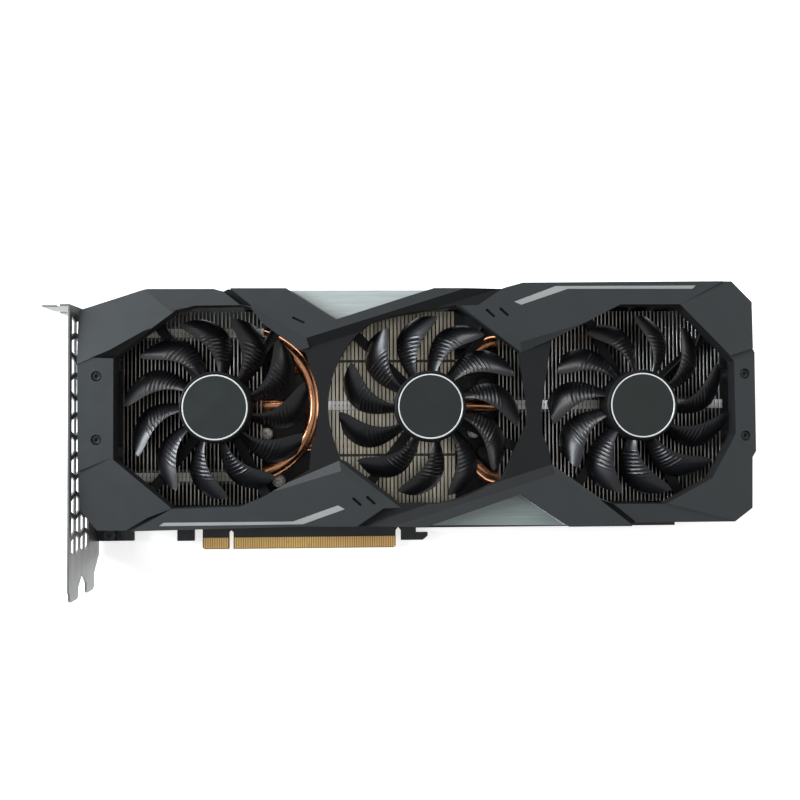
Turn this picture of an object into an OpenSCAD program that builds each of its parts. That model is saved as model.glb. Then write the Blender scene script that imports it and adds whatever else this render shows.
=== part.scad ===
// Triple-fan, two-slot graphics card, lying on its backplate with the fans facing up.
// Working frame of the modules: X runs from the bracket to the free end, Y from the edge
// connector to the top edge, Z from the backplate to the fans, with X0 Y0 on the middle fan's axis.
// place() then moves everything so that the origin is the middle of the card's footprint.

/* [Card] */
// Distance between the fan axes
fan_pitch = 87.6; // [87:0.1:89]
// Outer face of the bracket, left of the middle fan's axis
bracket_face = 146; // [145.5:0.1:148]
// Free end of the cooler, right of the middle fan's axis
free_end = 134.2; // [134:0.1:140]
// Overall thickness, backplate to the highest facet of the shroud
card_z = 39.8; // [39.6:0.1:41]
// Thickness of the shroud's walls
wall = 1.8; // [1.4:0.1:2]
// Height of the raised facets above the shroud's main face
facet_rise = 2; // [1:0.1:2.4]

/* [Circuit board] */
// Board thickness
board_t = 1.6; // [1.4:0.1:1.8]
// Gap between the backplate and the board
back_gap = 1.8; // [1.6:0.1:2]
// Backplate thickness
backplate_t = 1.2; // [1:0.1:1.4]
// Free end of the board, right of the middle fan's axis
board_end = 112; // [108:1:118]

/* [Expansion-card standard] */
// Bottom of the gold edge below the fan axes
edge_bottom = 61.94; // [61:0.01:63]
// Middle of the key notch, left of the middle fan's axis
key_x = 86.28; // [86:0.01:87]
// Width of the key notch
key_w = 1.9; // [1.8:0.01:2]
// Contact pitch
contact_pitch = 1; // [0.98:0.01:1.02]
// Bracket height, tongue tip to flange
bracket_h = 120.02; // [119.8:0.01:120.2]
// Bracket width over two slots
bracket_w = 38.74; // [38:0.01:39]
// Bracket sheet thickness
bracket_t = 0.86; // [0.8:0.01:1]
// Depth of the bent flange
flange_d = 11.43; // [11:0.01:12]
// Slot pitch of the case
slot_pitch = 20.32; // [20.3:0.01:20.34]
// Width of a bracket tongue
tongue_w = 10.19; // [10:0.01:10.3]

/* [Fans] */
// Blades per fan
blades = 11; // [9:1:13]
// Radius at the blade tips
tip_r = 37.4; // [36:0.1:38]
// Radius of the rotor hub
hub_r = 14.7; // [14:0.1:15]
// Radius of the hub label
label_r = 13.4; // [12.8:0.1:13.5]
// Blade sweep from root to tip in degrees
sweep = 30; // [20:1:35]
// Shaft radius
shaft_r = 1; // [1:0.1:1.2]
// Running clearance between shaft and sleeve
shaft_fit = 0.03; // [0.02:0.01:0.06]
// Radius at which the motor arms are screwed down
arm_reach = 45.5; // [45.5:0.1:45.8]

/* [Cooler] */
// Spacing of the fins
fin_pitch = 1.65; // [1.5:0.05:2]
// Fin thickness
fin_t = 0.4; // [0.3:0.1:0.5]
// Half width of the fins across the card
fin_half = 41; // [40:0.5:41]
// Top of the fins above the resting face
fin_top = 21; // [20.6:0.1:21]
// Heat pipe radius
pipe_r = 3; // [2.8:0.1:3]
// Centre-line radius of the U-shaped pipe
bend_r = 30.5; // [29:0.5:31]

/* [Hidden] */
$fn = 48;

// Levels above the resting face
board_back = backplate_t + back_gap;
board_front = board_back + board_t;
face_z = card_z - facet_rise;
plate_low = face_z - 2;
wall_low = 15;
die_top = board_front + 2.1;
base_low = die_top + 1.5;
base_top = base_low + 1.5;
pipe_z = base_top - 1.3 + pipe_r;
bend_z = pipe_z + 2 * pipe_r + 0.1;
arm_low = fin_top + 1.2;
arm_t = 1.6;
arm_top = arm_low + arm_t;
blade_low = 25.2;
blade_top = 35.6;
rotor_low = 24.6;
rotor_top = 38.2;

// Footprint, used to put the origin in its middle
board_bottom = -53.4;
board_upper = 48.6;
bracket_bottom = -78.07;
flange_top = bracket_bottom + bracket_h;
shroud_top = 51;
mid_x = (free_end - bracket_face - flange_d) / 2;
mid_y = (shroud_top + bracket_bottom) / 2;

// Fan axes, hand of the blades, directions of the four motor arms, and resting angle of the blades
LEFT = [-fan_pitch, 1, [54, 127, 230, 297], -17];
MIDDLE = [0, -1, [53, 135, 232, 335], -3.6];
RIGHT = [fan_pitch, 1, [43, 117, 234, 298], -9.4];
FANS = [LEFT, MIDDLE, RIGHT];

// Shroud outline, counter-clockwise from the lower left corner
OUTLINE = [
    [-142, -41.2], [-135, -49.4], [-119.3, -49.4], [-53, -48.2], [-2, -48.8], [36.4, -36],
    [56, -49.4], [81.5, -49.4], [84, -48.2], [125.2, -48.2], [free_end - 1.5, -42.6],
    [free_end - 1.5, -21.6], [free_end, -19.2], [free_end, 21.6], [free_end - 1, 23.4],
    [free_end - 1, 42.4], [124.8, shroud_top], [38, 50.4], [30, 48.2], [1.5, 48.2],
    [-38.4, 35.4], [-58.5, 48.2], [-82.5, 48.2], [-84.5, 47.2], [-88, 48.2], [-116, 48.2],
    [-142.9, 39.8]
];

// Fan windows, counter-clockwise, each with one round side that follows its fan
arc_r = 42;
WINDOW_1 = concat(
    [[-49.6, -25.6]],
    [for (a = [-22:4:22]) [-fan_pitch + arc_r * cos(a), arc_r * sin(a)]],
    [[-51, 22.4], [-53, 23], [-68.4, 34.2], [-73, 40.4], [-77.2, 41.4], [-95.4, 41.2], [-103, 39.2],
     [-128, 20.5], [-128, -20.8], [-104.6, -40.6], [-77.2, -40], [-68.4, -36.4]]
);
WINDOW_2 = concat(
    [for (a = [124:4:200]) [arc_r * cos(a), arc_r * sin(a)]],
    [[-37, -21.6], [-34.4, -22.6], [-12.8, -39.6], [3.4, -39.8], [11.6, -37.8], [29.2, -30.2],
     [39.8, -7.9], [40.4, -2.6], [39.9, 2.4], [36.8, 22.4], [10.6, 41.4], [-12.4, 37.6]]
);
WINDOW_3 = [
    [49.4, -24], [69, -38], [75.4, -40.4], [96, -40.6], [115.6, -30.2], [125.8, -11.8],
    [125.6, 18], [120, 24], [103, 41.4], [78.2, 41.4], [49.8, 27], [48.6, 18.8],
    [46.6, 6.4], [45.6, -1.8], [45.8, -11.6], [48.6, -18.2]
];
WINDOWS = [WINDOW_1, WINDOW_2, WINDOW_3];

// Raised facets of the shroud's front, drawn past its edge and trimmed to the outline
FACETS = [
    [[-84, 50], [-73, 41.4], [-51.4, 28.2], [33, 50]],
    [[-32, -51], [49.4, -24.6], [68.6, -38.6], [81.6, -48.8], [83, -51]],
    [[-130, -51], [-104.8, -41.4], [-77.4, -40.8], [-49.4, -26.2], [-34, -23.4], [-16, -37.4], [-24, -51]],
    [[20, 41.8], [37.2, 23], [49.4, 27.6], [78, 42], [103.2, 42], [126, 53], [34, 53], [27, 50]]
];

// Inlaid light strips: one along the lower left edge, one along the upper right edge
STRIP_LEFT = [[-109.8, -47.6], [-52, -47.4], [-34.8, -41.4], [-37.9, -39.7], [-56, -46], [-107.8, -46]];
STRIP_RIGHT = [[34, 42.6], [37.2, 41.2], [56.4, 47.7], [108.2, 47.7], [110, 49.3], [51.4, 49.1]];

// Fasteners
SHROUD_SCREWS = [[-134.9, 12.8], [-134.9, -12.8], [130, 12.8], [130, -12.8]];
SHROUD_POSTS = [[-112, 44.3], [-112, -44.6], [96, 44.6], [104, -44.4]];
BASE_POSTS = [[-60, 36], [-60, -36], [6, 36], [6, -36]];
GPU = [-27, 0];
SPRING_SPOTS = [for (x = [-29, 29], y = [-29, 29]) GPU + [x, y]];
BRACKET_TABS = [[-141, 37], [-139, -54.8]];

// Connectors on the bracket, as distances along Y
DISPLAY_PORTS = [24, 4, -16];
HDMI_Y = -36;
// Power sockets: middle along X and columns
POWER = [[54, 3], [80, 4]];
power_pitch = 4.2;

// Fan sockets on the board, with the stretch of lead that leaves each arm
FAN_SOCKETS = [[-76, 45.2], [14, 45.2], [107.5, 45.2]];

module place() {
    translate([-mid_x, -mid_y, 0]) children();
}

// Outline grown outwards by d with mitred corners, for counter-clockwise points
function along(v) = v / norm(v);
function outward(v) = [v.y, -v.x];
function grow(pts, d) = let (n = len(pts)) [
    for (i = [0:n - 1]) let (
        n1 = outward(along(pts[i] - pts[(i + n - 1) % n])),
        n2 = outward(along(pts[(i + 1) % n] - pts[i])),
        m = along(n1 + n2)
    ) pts[i] + m * d / (m * n1)
];

module slab(low, high) {
    translate([0, 0, low]) linear_extrude(high - low) children();
}

module box(a, b) {
    translate(a) cube(b - a);
}

module rod(spot, r, low, high) {
    translate([spot.x, spot.y, low]) cylinder(h = high - low, r = r);
}

// A tube swept through points, with flat sides
function side(t) = along(abs(t.z) > 0.8 ? cross(t, [1, 0, 0]) : cross(t, [0, 0, 1]));
module tube(path, r, sides) {
    n = len(path);
    rings = [for (i = [0:n - 1]) let (
        t = along(path[min(i + 1, n - 1)] - path[max(i - 1, 0)]),
        u = side(t),
        v = cross(t, u)
    ) for (k = [0:sides - 1]) path[i] + r * (u * cos(360 * k / sides) + v * sin(360 * k / sides))];
    skin = [for (i = [0:n - 2], k = [0:sides - 1]) let (
        a = i * sides + k,
        b = i * sides + (k + 1) % sides
    ) each [[a, a + sides, b], [b, a + sides, b + sides]]];
    ends = [[for (k = [0:sides - 1]) k], [for (k = [sides - 1:-1:0]) (n - 1) * sides + k]];
    polyhedron(rings, concat(skin, ends));
}

// ---- Circuit board -------------------------------------------------------------------------

// Board outline: bracket end, contact edge with its key notch, retention hook, free end
EDGE_LEFT = -key_x - 0.95 - 11.65;
EDGE_RIGHT = -key_x + 0.95 + 71.65;
BOARD = [
    [-145, -57.9], [-128.8, -57.9], [-128.8, -52.2], [-110, -52.2], [-110, -58.2], [-102.4, -58.2],
    [-102.4, -52.6], [EDGE_LEFT, -52.6], [EDGE_LEFT, -61.2], [EDGE_LEFT + 0.8, -edge_bottom],
    [-key_x - key_w / 2, -edge_bottom], [-key_x - key_w / 2, -54.6], [-key_x, -53.8],
    [-key_x + key_w / 2, -54.6], [-key_x + key_w / 2, -edge_bottom], [EDGE_RIGHT - 0.8, -edge_bottom],
    [EDGE_RIGHT, -61.2], [EDGE_RIGHT, -54.4], [-12.6, -53], [-11.4, -54.4], [-11.4, -58.8],
    [-1.6, -58.8], [0.6, -57], [0.6, -55.4], [-4.6, -55.4], [-4.6, board_bottom],
    [board_end, board_bottom], [board_end, board_upper], [-137, board_upper], [-145, 45]
];

module pcb() place() color([0.06, 0.07, 0.08]) difference() {
    slab(board_back, board_front) polygon(BOARD);
    for (p = concat(SHROUD_POSTS, BASE_POSTS)) rod(p, 1.5, board_back - 1, board_front + 1);
    for (p = SPRING_SPOTS) rod(p, 1.7, board_back - 1, board_front + 1);
    for (p = BRACKET_TABS) rod(p, 1.6, board_back - 1, board_front + 1);
}

// Contacts on both faces: eleven before the key, the rest after it
contact_t = 0.05;
module contact_row(first, count, low) {
    for (i = [0:count - 1])
        box([first + i * contact_pitch, -edge_bottom + 1.2, low],
            [first + i * contact_pitch + 0.7, -56.9, low + contact_t]);
}
module edge_contacts() place() color([0.83, 0.62, 0.2]) {
    for (low = [board_front, board_back - contact_t]) {
        contact_row(EDGE_LEFT + 0.5, 11, low);
        contact_row(-key_x + 1.45, 71, low);
    }
}

module gpu_substrate() place() color([0.1, 0.28, 0.18])
    translate([GPU.x, GPU.y, board_front + 0.65]) cube([40, 40, 1.3], center = true);

module gpu_die() place() color([0.35, 0.37, 0.4])
    translate([GPU.x, GPU.y, board_front + 1.7]) cube([25, 22, 0.8], center = true);

// Eight memory chips around the processor
MEMORY = [[-58, 19], [-58, 4], [-58, -12], [-38, -33], [-22, -33], [-7, -33], [-38, 33], [-18, 33]];
memory_t = 1.1;
module memory_chips() place() color([0.12, 0.12, 0.13]) for (m = MEMORY)
    translate([m.x, m.y, board_front + memory_t / 2]) cube([12, 14, memory_t], center = true);

VRM_ROWS = [for (y = [-30:10:30]) y];
low_part_t = 3.6;
module power_stages() place() color([0.1, 0.1, 0.11]) for (y = VRM_ROWS)
    translate([6, y * 0.8, board_front + 0.5]) cube([6, 5, 1], center = true);

module chokes() place() color([0.3, 0.31, 0.32]) for (y = VRM_ROWS)
    translate([16.5, y, board_front + low_part_t / 2]) cube([7, 8, low_part_t], center = true);

module capacitors() place() color([0.75, 0.76, 0.78]) for (y = VRM_ROWS)
    rod([25.8, y], 3.1, board_front, board_front + low_part_t);

// Small ceramic parts, in tidy groups
module small_components() place() color([0.62, 0.52, 0.4]) {
    for (x = [-122:6:-80], y = [-40.5, -36]) box([x, y, board_front], [x + 2, y + 1.2, board_front + 0.8]);
    for (x = [-94:4:-18]) box([x, -51, board_front], [x + 1, -49.6, board_front + 0.6]);
    for (x = [38:7:100], y = [-40, -28, -16]) box([x, y, board_front], [x + 2, y + 1.2, board_front + 1]);
}

module control_chips() place() color([0.09, 0.09, 0.1]) {
    box([-104, 8, board_front], [-97, 15, board_front + 0.9]);
    box([-106, -22, board_front], [-101, -18, board_front + 1.5]);
    box([50, 2, board_front], [57, 9, board_front + 0.9]);
    box([76, 2, board_front], [81, 7, board_front + 0.9]);
}

// ---- Connectors on the bracket ---------------------------------------------------------------

shell_t = 0.3;
module shell(y, w, h, depth) {
    x0 = -bracket_face - 0.5;
    difference() {
        box([x0, y - w / 2, board_front], [x0 + depth, y + w / 2, board_front + h]);
        box([x0 - 1, y - w / 2 + shell_t, board_front + shell_t],
            [x0 + depth - 2, y + w / 2 - shell_t, board_front + h - shell_t]);
    }
}
module insert(y, w, h, depth) {
    x0 = -bracket_face;
    box([x0 + 1, y - w / 2, board_front + h / 2 - 0.6],
        [x0 + depth - 6, y + w / 2, board_front + h / 2 + 0.6]);
    box([x0 + depth - 6, y - w / 2 - 1, board_front + shell_t],
        [x0 + depth - 2.5, y + w / 2 + 1, board_front + h - shell_t]);
}
module display_port_shells() place() color([0.72, 0.73, 0.75])
    for (y = DISPLAY_PORTS) shell(y, 16.8, 5.6, 17);
module hdmi_shell() place() color([0.78, 0.76, 0.7]) shell(HDMI_Y, 15.2, 6, 17);
module display_inserts() place() color([0.07, 0.07, 0.07]) {
    for (y = DISPLAY_PORTS) insert(y, 13, 5.6, 17);
    insert(HDMI_Y, 11.6, 6, 17);
}

// ---- Power sockets ---------------------------------------------------------------------------

socket_low = board_front;
socket_h = 9.6;
socket_front = board_upper;
socket_d = 12.8;
module each_cell() {
    for (p = POWER, i = [0:p[1] - 1], j = [0, 1])
        translate([p[0] + (i - (p[1] - 1) / 2) * power_pitch, socket_front,
            socket_low + socket_h / 2 + (j - 0.5) * power_pitch]) children();
}
module power_sockets() place() color([0.05, 0.05, 0.05]) difference() {
    for (p = POWER) union() {
        w = p[1] * power_pitch + 1.2;
        box([p[0] - w / 2, socket_front - socket_d, socket_low],
            [p[0] + w / 2, socket_front, socket_low + socket_h]);
        box([p[0] - 2.2, socket_front - 7, socket_low + socket_h - 0.1],
            [p[0] + 2.2, socket_front - 3, socket_low + socket_h + 1]);
    }
    each_cell() translate([-1.75, -9.5, -1.75]) cube([3.5, 10, 3.5]);
}
module power_pins() place() color([0.8, 0.66, 0.35])
    each_cell() translate([-0.45, -9.5, -0.45]) cube([0.9, 7.5, 0.9]);

// ---- Bracket ---------------------------------------------------------------------------------

bracket_low = 0.5;
bracket_high = bracket_low + bracket_w;
TONGUES = [bracket_low + 12.2, bracket_low + 12.2 + slot_pitch];
tongue_half = tongue_w / 2;
TONGUE_END = [[1, -tongue_half], [0, 1 - tongue_half], [0, tongue_half - 1], [1, tongue_half]];
screw_slot_w = 4.42;
FLANGE_SCREWS = [bracket_low + 17.9, bracket_low + 17.9 + slot_pitch];
vent_pitch_y = 8.1;
vent_pitch_z = 5.6;
VENT = [[-3.85, -2.25], [3.85, -2.25], [2.15, 2.25], [-2.15, 2.25]];

// Sketches of the bracket are drawn with Y to the right and Z up, then stood on edge
module on_bracket(x, t) {
    translate([x, 0, 0]) rotate([90, 0, 90]) linear_extrude(t) children();
}
module io_bracket() place() color([0.62, 0.63, 0.62]) union() {
    difference() {
        on_bracket(-bracket_face, bracket_t) difference() {
            polygon(concat(
                [[flange_top, bracket_high], [flange_top, bracket_low], [-64, bracket_low],
                 [-71.5, TONGUES[0] - tongue_half]],
                [for (p = TONGUE_END) [bracket_bottom + p.x, TONGUES[0] + p.y]],
                [[-73.6, TONGUES[0] + tongue_half], [-68.6, (TONGUES[0] + TONGUES[1]) / 2],
                 [-73.6, TONGUES[1] - tongue_half]],
                [for (p = TONGUE_END) [bracket_bottom + p.x, TONGUES[1] + p.y]],
                [[-75, TONGUES[1] + tongue_half], [-73.4, bracket_high]]
            ));
            for (y = DISPLAY_PORTS) translate([y - 8.5, board_front - 0.1]) square([17, 5.8]);
            translate([HDMI_Y - 7.7, board_front - 0.1]) square([15.4, 6.2]);
            for (c = [0:3], r = [0:11])
                translate([33.3 - r * vent_pitch_y, 17.5 + c * vent_pitch_z])
                    mirror([0, (c + r) % 2]) polygon(VENT);
        }
    }
    // Flange with its two screw slots
    difference() {
        box([-bracket_face - flange_d, flange_top - bracket_t, bracket_low],
            [-bracket_face + bracket_t, flange_top, bracket_high]);
        for (z = FLANGE_SCREWS) {
            translate([-bracket_face - 5.5, flange_top + 1, z]) rotate([90, 0, 0])
                cylinder(h = 3, r = screw_slot_w / 2);
            box([-bracket_face - flange_d - 1, flange_top - 2, z - screw_slot_w / 2],
                [-bracket_face - 5.5, flange_top + 1, z + screw_slot_w / 2]);
        }
    }
    // Tabs that bolt to the board
    for (p = BRACKET_TABS) difference() {
        box([-bracket_face, p.y - 3, board_front], [p.x + 4, p.y + 3, board_front + bracket_t]);
        rod(p, 1.6, board_front - 1, board_front + 2);
    }
}

module bracket_screws() place() color([0.7, 0.7, 0.7]) for (p = BRACKET_TABS) {
    rod(p, 1.45, board_back - 0.6, board_front + bracket_t);
    difference() {
        rod(p, 2.8, board_front + bracket_t, board_front + bracket_t + 1.8);
        rod(p, 1, board_front + bracket_t + 0.8, board_front + bracket_t + 2);
    }
}

// ---- Backplate and fasteners from behind -------------------------------------------------------

BACKPLATE = [[-141, -46], [-136, -51], [96, -51], [104, -47], [126, -47], [131, -42], [131, 42],
    [126, 48], [-128, 48], [-141, 38]];
BACK_SCREWS = concat(SHROUD_POSTS, BASE_POSTS);
module backplate() place() color([0.09, 0.09, 0.1]) difference() {
    union() {
        slab(0, backplate_t) polygon(BACKPLATE);
        for (p = BACK_SCREWS) rod(p, 3, backplate_t - 0.1, board_back);
        for (y = [-30, 30]) box([112.6, y - 2, backplate_t - 0.1], [128, y + 2, 3]);
    }
    for (p = BACK_SCREWS) {
        rod(p, 1.35, -1, board_back + 1);
        translate([p.x, p.y, -0.01]) cylinder(h = 1.1, r1 = 2.5, r2 = 1.35);
    }
    for (p = SPRING_SPOTS) rod(p, 4, -1, board_back + 1);
    // Diagonal pressed grooves
    for (x = [-118:6:-88])
        translate([x, 0, -0.01]) rotate([0, 0, 60]) translate([-9, -0.8, 0]) cube([18, 1.6, 0.4]);
    for (x = [40:6:100])
        translate([x, 0, -0.01]) rotate([0, 0, 60]) translate([-14, -0.8, 0]) cube([28, 1.6, 0.4]);
}
module backplate_screws() place() color([0.12, 0.12, 0.12]) for (p = BACK_SCREWS) difference() {
    union() {
        translate([p.x, p.y, 0.05]) cylinder(h = 1, r1 = 2.3, r2 = 1.25);
        rod(p, 1.25, 1, board_front + 3);
    }
    rod(p, 0.9, -0.1, 0.6);
}

spring_head = 0.9;
module spring_screws() place() color([0.7, 0.7, 0.72]) for (p = SPRING_SPOTS) difference() {
    union() {
        rod(p, 3, 0.1, spring_head + 0.1);
        rod(p, 1.4, spring_head, base_low);
    }
    rod(p, 1, -0.1, 0.6);
}
spring_turns = 2.5;
spring_steps = 30;
module mount_springs() place() color([0.8, 0.8, 0.82]) for (p = SPRING_SPOTS)
    tube([for (i = [0:spring_steps]) let (a = 360 * spring_turns * i / spring_steps)
        [p.x + 2.3 * cos(a), p.y + 2.3 * sin(a),
         spring_head + 0.35 + (board_back - spring_head - 0.6) * i / spring_steps]], 0.22, 6);

// ---- Shroud ------------------------------------------------------------------------------------

function arm_end(fan, a) = [fan[0] + arm_reach * cos(a), arm_reach * sin(a)];
collar_t = 1.2;
module outer_wall() difference() {
    polygon(OUTLINE);
    polygon(grow(OUTLINE, -wall));
}
module shroud() place() color([0.2, 0.22, 0.22]) difference() {
    union() {
        slab(plate_low, face_z) polygon(OUTLINE);
        slab(wall_low, plate_low + 0.1) outer_wall();
        // The free end is closed down to just above the backplate
        slab(backplate_t + 0.8, wall_low + 0.1) intersection() {
            outer_wall();
            translate([free_end - 6, -43]) square([12, 86]);
        }
        for (w = WINDOWS) slab(plate_low - 4, plate_low + 0.1) polygon(grow(w, collar_t));
        slab(face_z - 0.1, card_z) intersection() {
            polygon(OUTLINE);
            union() for (f = FACETS) polygon(f);
        }
        for (p = SHROUD_POSTS) rod(p, 2.9, board_front, plate_low + 0.1);
        for (fan = FANS, a = fan[2]) rod(arm_end(fan, a), 2.4, arm_top, plate_low + 0.1);
    }
    for (w = WINDOWS) slab(wall_low - 1, card_z + 1) polygon(w);
    for (s = [STRIP_LEFT, STRIP_RIGHT]) slab(card_z - 1.2, card_z + 1) polygon(s);
    for (p = SHROUD_SCREWS) {
        rod(p, 1.5, plate_low - 1, face_z + 1);
        rod(p, 2.1, plate_low + 0.8, face_z + 1);
    }
    for (p = SHROUD_POSTS) rod(p, 1.25, board_front - 1, board_front + 8);
    for (fan = FANS, a = fan[2]) rod(arm_end(fan, a), 1, arm_top - 1, arm_top + 6);
    // Room for the fins under the two valleys, and for the power sockets
    box([-54, 30, wall_low - 1], [-11, 44.4, fin_top + 0.8]);
    box([20, -44.4, wall_low - 1], [50, -30, fin_top + 0.8]);
    box([40, 44, 3], [92, 60, socket_low + socket_h + 1.6]);
}

// Metal-look panels that fill the two V-shaped valleys of the outline
panel_top = 34.6;
UPPER_VALLEY = [[-38.4, 35.4], [1.5, 48.2], [-58.5, 48.2]];
LOWER_VALLEY = [[36.4, -36], [-2, -48.8], [56, -49.4]];
module valley_panel(valley, band) {
    slab(panel_top - 1.4, panel_top) polygon(grow(valley, -0.1));
    slab(18, panel_top - 1.3) intersection() {
        polygon(grow(valley, -0.1));
        translate([-70, band]) square([140, 1.3]);
    }
}
module upper_trim_panel() place() color([0.66, 0.68, 0.68]) valley_panel(UPPER_VALLEY, 46.8);
module lower_trim_panel() place() color([0.42, 0.46, 0.46]) valley_panel(LOWER_VALLEY, -48.8);

module accent_strips() place() color([0.7, 0.72, 0.72])
    for (s = [STRIP_LEFT, STRIP_RIGHT]) slab(card_z - 1.2, card_z - 0.1) polygon(grow(s, -0.05));

module shroud_screws() place() color([0.05, 0.05, 0.05]) for (p = SHROUD_SCREWS) difference() {
    union() {
        rod(p, 1.2, plate_low - 8, plate_low + 0.9);
        rod(p, 1.75, plate_low + 0.8, plate_low + 2.1);
    }
    rod(p, 0.8, plate_low + 1.2, face_z + 1);
}
module fan_screws() place() color([0.1, 0.1, 0.1]) for (fan = FANS, a = fan[2]) {
    rod(arm_end(fan, a), 0.95, arm_low - 0.1, arm_top + 5);
    rod(arm_end(fan, a), 1.9, arm_low - 1, arm_low);
}

// ---- Cooler ------------------------------------------------------------------------------------

// Pipes along Y: where they cross the base, and where they enter the right stack
BASE_PIPES = [-16, 0.8, 18];
END_PIPES = [-30.5, 0.8, 28.6];
module heatsink_base() place() color([0.7, 0.71, 0.72]) difference() {
    union() {
        box([-70, -40, base_low], [12, 40, base_top]);
        for (m = MEMORY) translate([m.x, m.y, base_low - 0.3]) cube([12, 14, 0.8], center = true);
        for (p = BASE_POSTS) rod(p, 2.8, board_front, base_low + 0.1);
        for (p = SPRING_SPOTS) rod(p, 2.6, board_front, base_low + 0.1);
    }
    for (y = BASE_PIPES)
        translate([-71, y, pipe_z]) rotate([0, 90, 0]) cylinder(h = 84, r = pipe_r);
    for (p = BASE_POSTS) rod(p, 1.25, board_front - 1, base_low + 1);
    for (p = SPRING_SPOTS) rod(p, 1.4, board_front - 1, base_low + 1);
}

module cold_plate() place() color([0.78, 0.45, 0.3])
    translate([GPU.x, GPU.y, (die_top + base_low) / 2]) cube([44, 44, base_low - die_top], center = true);

// Fins stand across the card; the bars are the folded clips that lock their tops together
FIN = [
    [-fin_half, base_top], [34, base_top], [34, 17], [fin_half, 17], [fin_half, fin_top], [-fin_half, fin_top]
];
module fin_stack(x0, x1, clips, low_pipes, high_pipes) {
    count = floor((x1 - x0) / fin_pitch);
    for (i = [0:count])
        translate([x0 + i * fin_pitch, 0, 0]) rotate([90, 0, 90]) linear_extrude(fin_t) difference() {
            polygon(FIN);
            for (y = low_pipes) translate([y, pipe_z]) circle(r = pipe_r);
            for (y = high_pipes) {
                for (s = [0, 1.5]) translate([y - sign(y) * s, bend_z]) circle(r = pipe_r);
                translate([y - 0.75 * sign(y) - 0.75, bend_z - pipe_r]) square([1.5, 2 * pipe_r]);
            }
        }
    for (y = clips) box([x0, y - 2, fin_top - 0.3], [x0 + count * fin_pitch + fin_t, y + 2, fin_top + 0.3]);
}
// Ear that carries the shroud screws at the end of a stack
module ear(x0, x1, post_x) difference() {
    union() {
        box([x0, -16, fin_top - 1.8], [x1, 16, fin_top - 0.2]);
        for (y = [-12.8, 12.8]) rod([post_x, y], 2.3, fin_top - 0.3, plate_low);
    }
    for (y = [-12.8, 12.8]) rod([post_x, y], 1.2, plate_low - 9, plate_low + 1);
}
U_CENTRE = [-79, 1.4];
module fin_stack_left() place() color([0.74, 0.75, 0.76]) union() {
    fin_stack(-129, -70.6, [-29.1, 31.9], [0.8], [U_CENTRE.y - bend_r, U_CENTRE.y + bend_r]);
    ear(-138, -129.05, -134.9);
}
module fin_stack_middle() place() color([0.74, 0.75, 0.76])
    fin_stack(-42.5, 11.2, [0.8], BASE_PIPES, []);
module fin_stack_right() place() color([0.74, 0.75, 0.76]) union() {
    fin_stack(30.5, 127, [0.8], END_PIPES, []);
    ear(126.65, 132.3, 130);
}

// A pipe laid flat: straight runs with round bends between them, all at one height
module run(a, b, z) {
    d = b - a;
    translate([a.x, a.y, z]) rotate([0, 90, atan2(d.y, d.x)]) cylinder(h = norm(d), r = pipe_r);
}
module bend(centre, radius, from, to, z) {
    translate([centre.x, centre.y, z]) rotate([0, 0, from])
        rotate_extrude(angle = to - from) translate([radius, 0]) circle(r = pipe_r);
}
module heat_pipe_1() place() color([0.85, 0.45, 0.25]) union() {
    bend(U_CENTRE, bend_r, -90, 90, bend_z);
    for (s = [-1, 1]) run([-128, U_CENTRE.y + s * bend_r], [U_CENTRE.x, U_CENTRE.y + s * bend_r], bend_z);
}
module heat_pipe_2() place() color([0.85, 0.45, 0.25])
    run([-128, BASE_PIPES[1]], [126, END_PIPES[1]], pipe_z);

// Leaves the base straight, swings across the gap between two stacks, and runs on straight
swing_start = 11;
swing_end = 30;
swing_steps = 10;
module fanned_pipe(y0, y1) {
    swing = [for (i = [0:swing_steps]) let (t = i / swing_steps)
        [swing_start + (swing_end - swing_start) * t, y0 + (y1 - y0) * (1 - cos(180 * t)) / 2, pipe_z]];
    tube(concat([[-66, y0, pipe_z], [-30, y0, pipe_z]], swing, [[80, y1, pipe_z], [126, y1, pipe_z]]),
        pipe_r - 0.02, 16);
}
module heat_pipe_3() place() color([0.85, 0.45, 0.25]) fanned_pipe(BASE_PIPES[2], END_PIPES[2]);
module heat_pipe_4() place() color([0.85, 0.45, 0.25]) fanned_pipe(BASE_PIPES[0], END_PIPES[0]);

module thermal_pads() place() color([0.6, 0.65, 0.72]) for (m = MEMORY)
    translate([m.x, m.y, (board_front + memory_t + base_low - 0.7) / 2])
        cube([11, 13, base_low - 0.7 - board_front - memory_t], center = true);

// ---- Fans --------------------------------------------------------------------------------------

// Hub seat, arms with their ears, and the tube that holds the bearing
sleeve_r = 2.5;
tube_r = 3.4;
seat_r = 14;
module fan_mount(fan) color([0.07, 0.07, 0.08]) difference() {
    union() {
        rod([fan[0], 0], seat_r, arm_low, arm_top);
        rod([fan[0], 0], tube_r, arm_low, 33);
        for (a = fan[2]) {
            translate([fan[0], 0, arm_low]) rotate([0, 0, a]) translate([seat_r - 2, -2, 0])
                cube([arm_reach - seat_r + 2, 4, arm_t]);
            rod(arm_end(fan, a), 3, arm_low, arm_top);
        }
    }
    rod([fan[0], 0], sleeve_r, arm_low + 0.8, 34);
    for (a = fan[2]) rod(arm_end(fan, a), 1, arm_low - 1, arm_top + 1);
}

// Four wound poles on a ring
module fan_stator(fan) color([0.72, 0.42, 0.2]) translate([fan[0], 0, 0]) difference() {
    union() {
        rod([0, 0], 5, 25.6, 32);
        for (a = [0:90:270]) rotate([0, 0, a + 45]) {
            box([4, -2.4, 26], [8.4, 2.4, 31.6]);
            box([8.3, -4.2, 25.8], [9.2, 4.2, 31.8]);
        }
    }
    rod([0, 0], tube_r, 25, 33);
}

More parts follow.
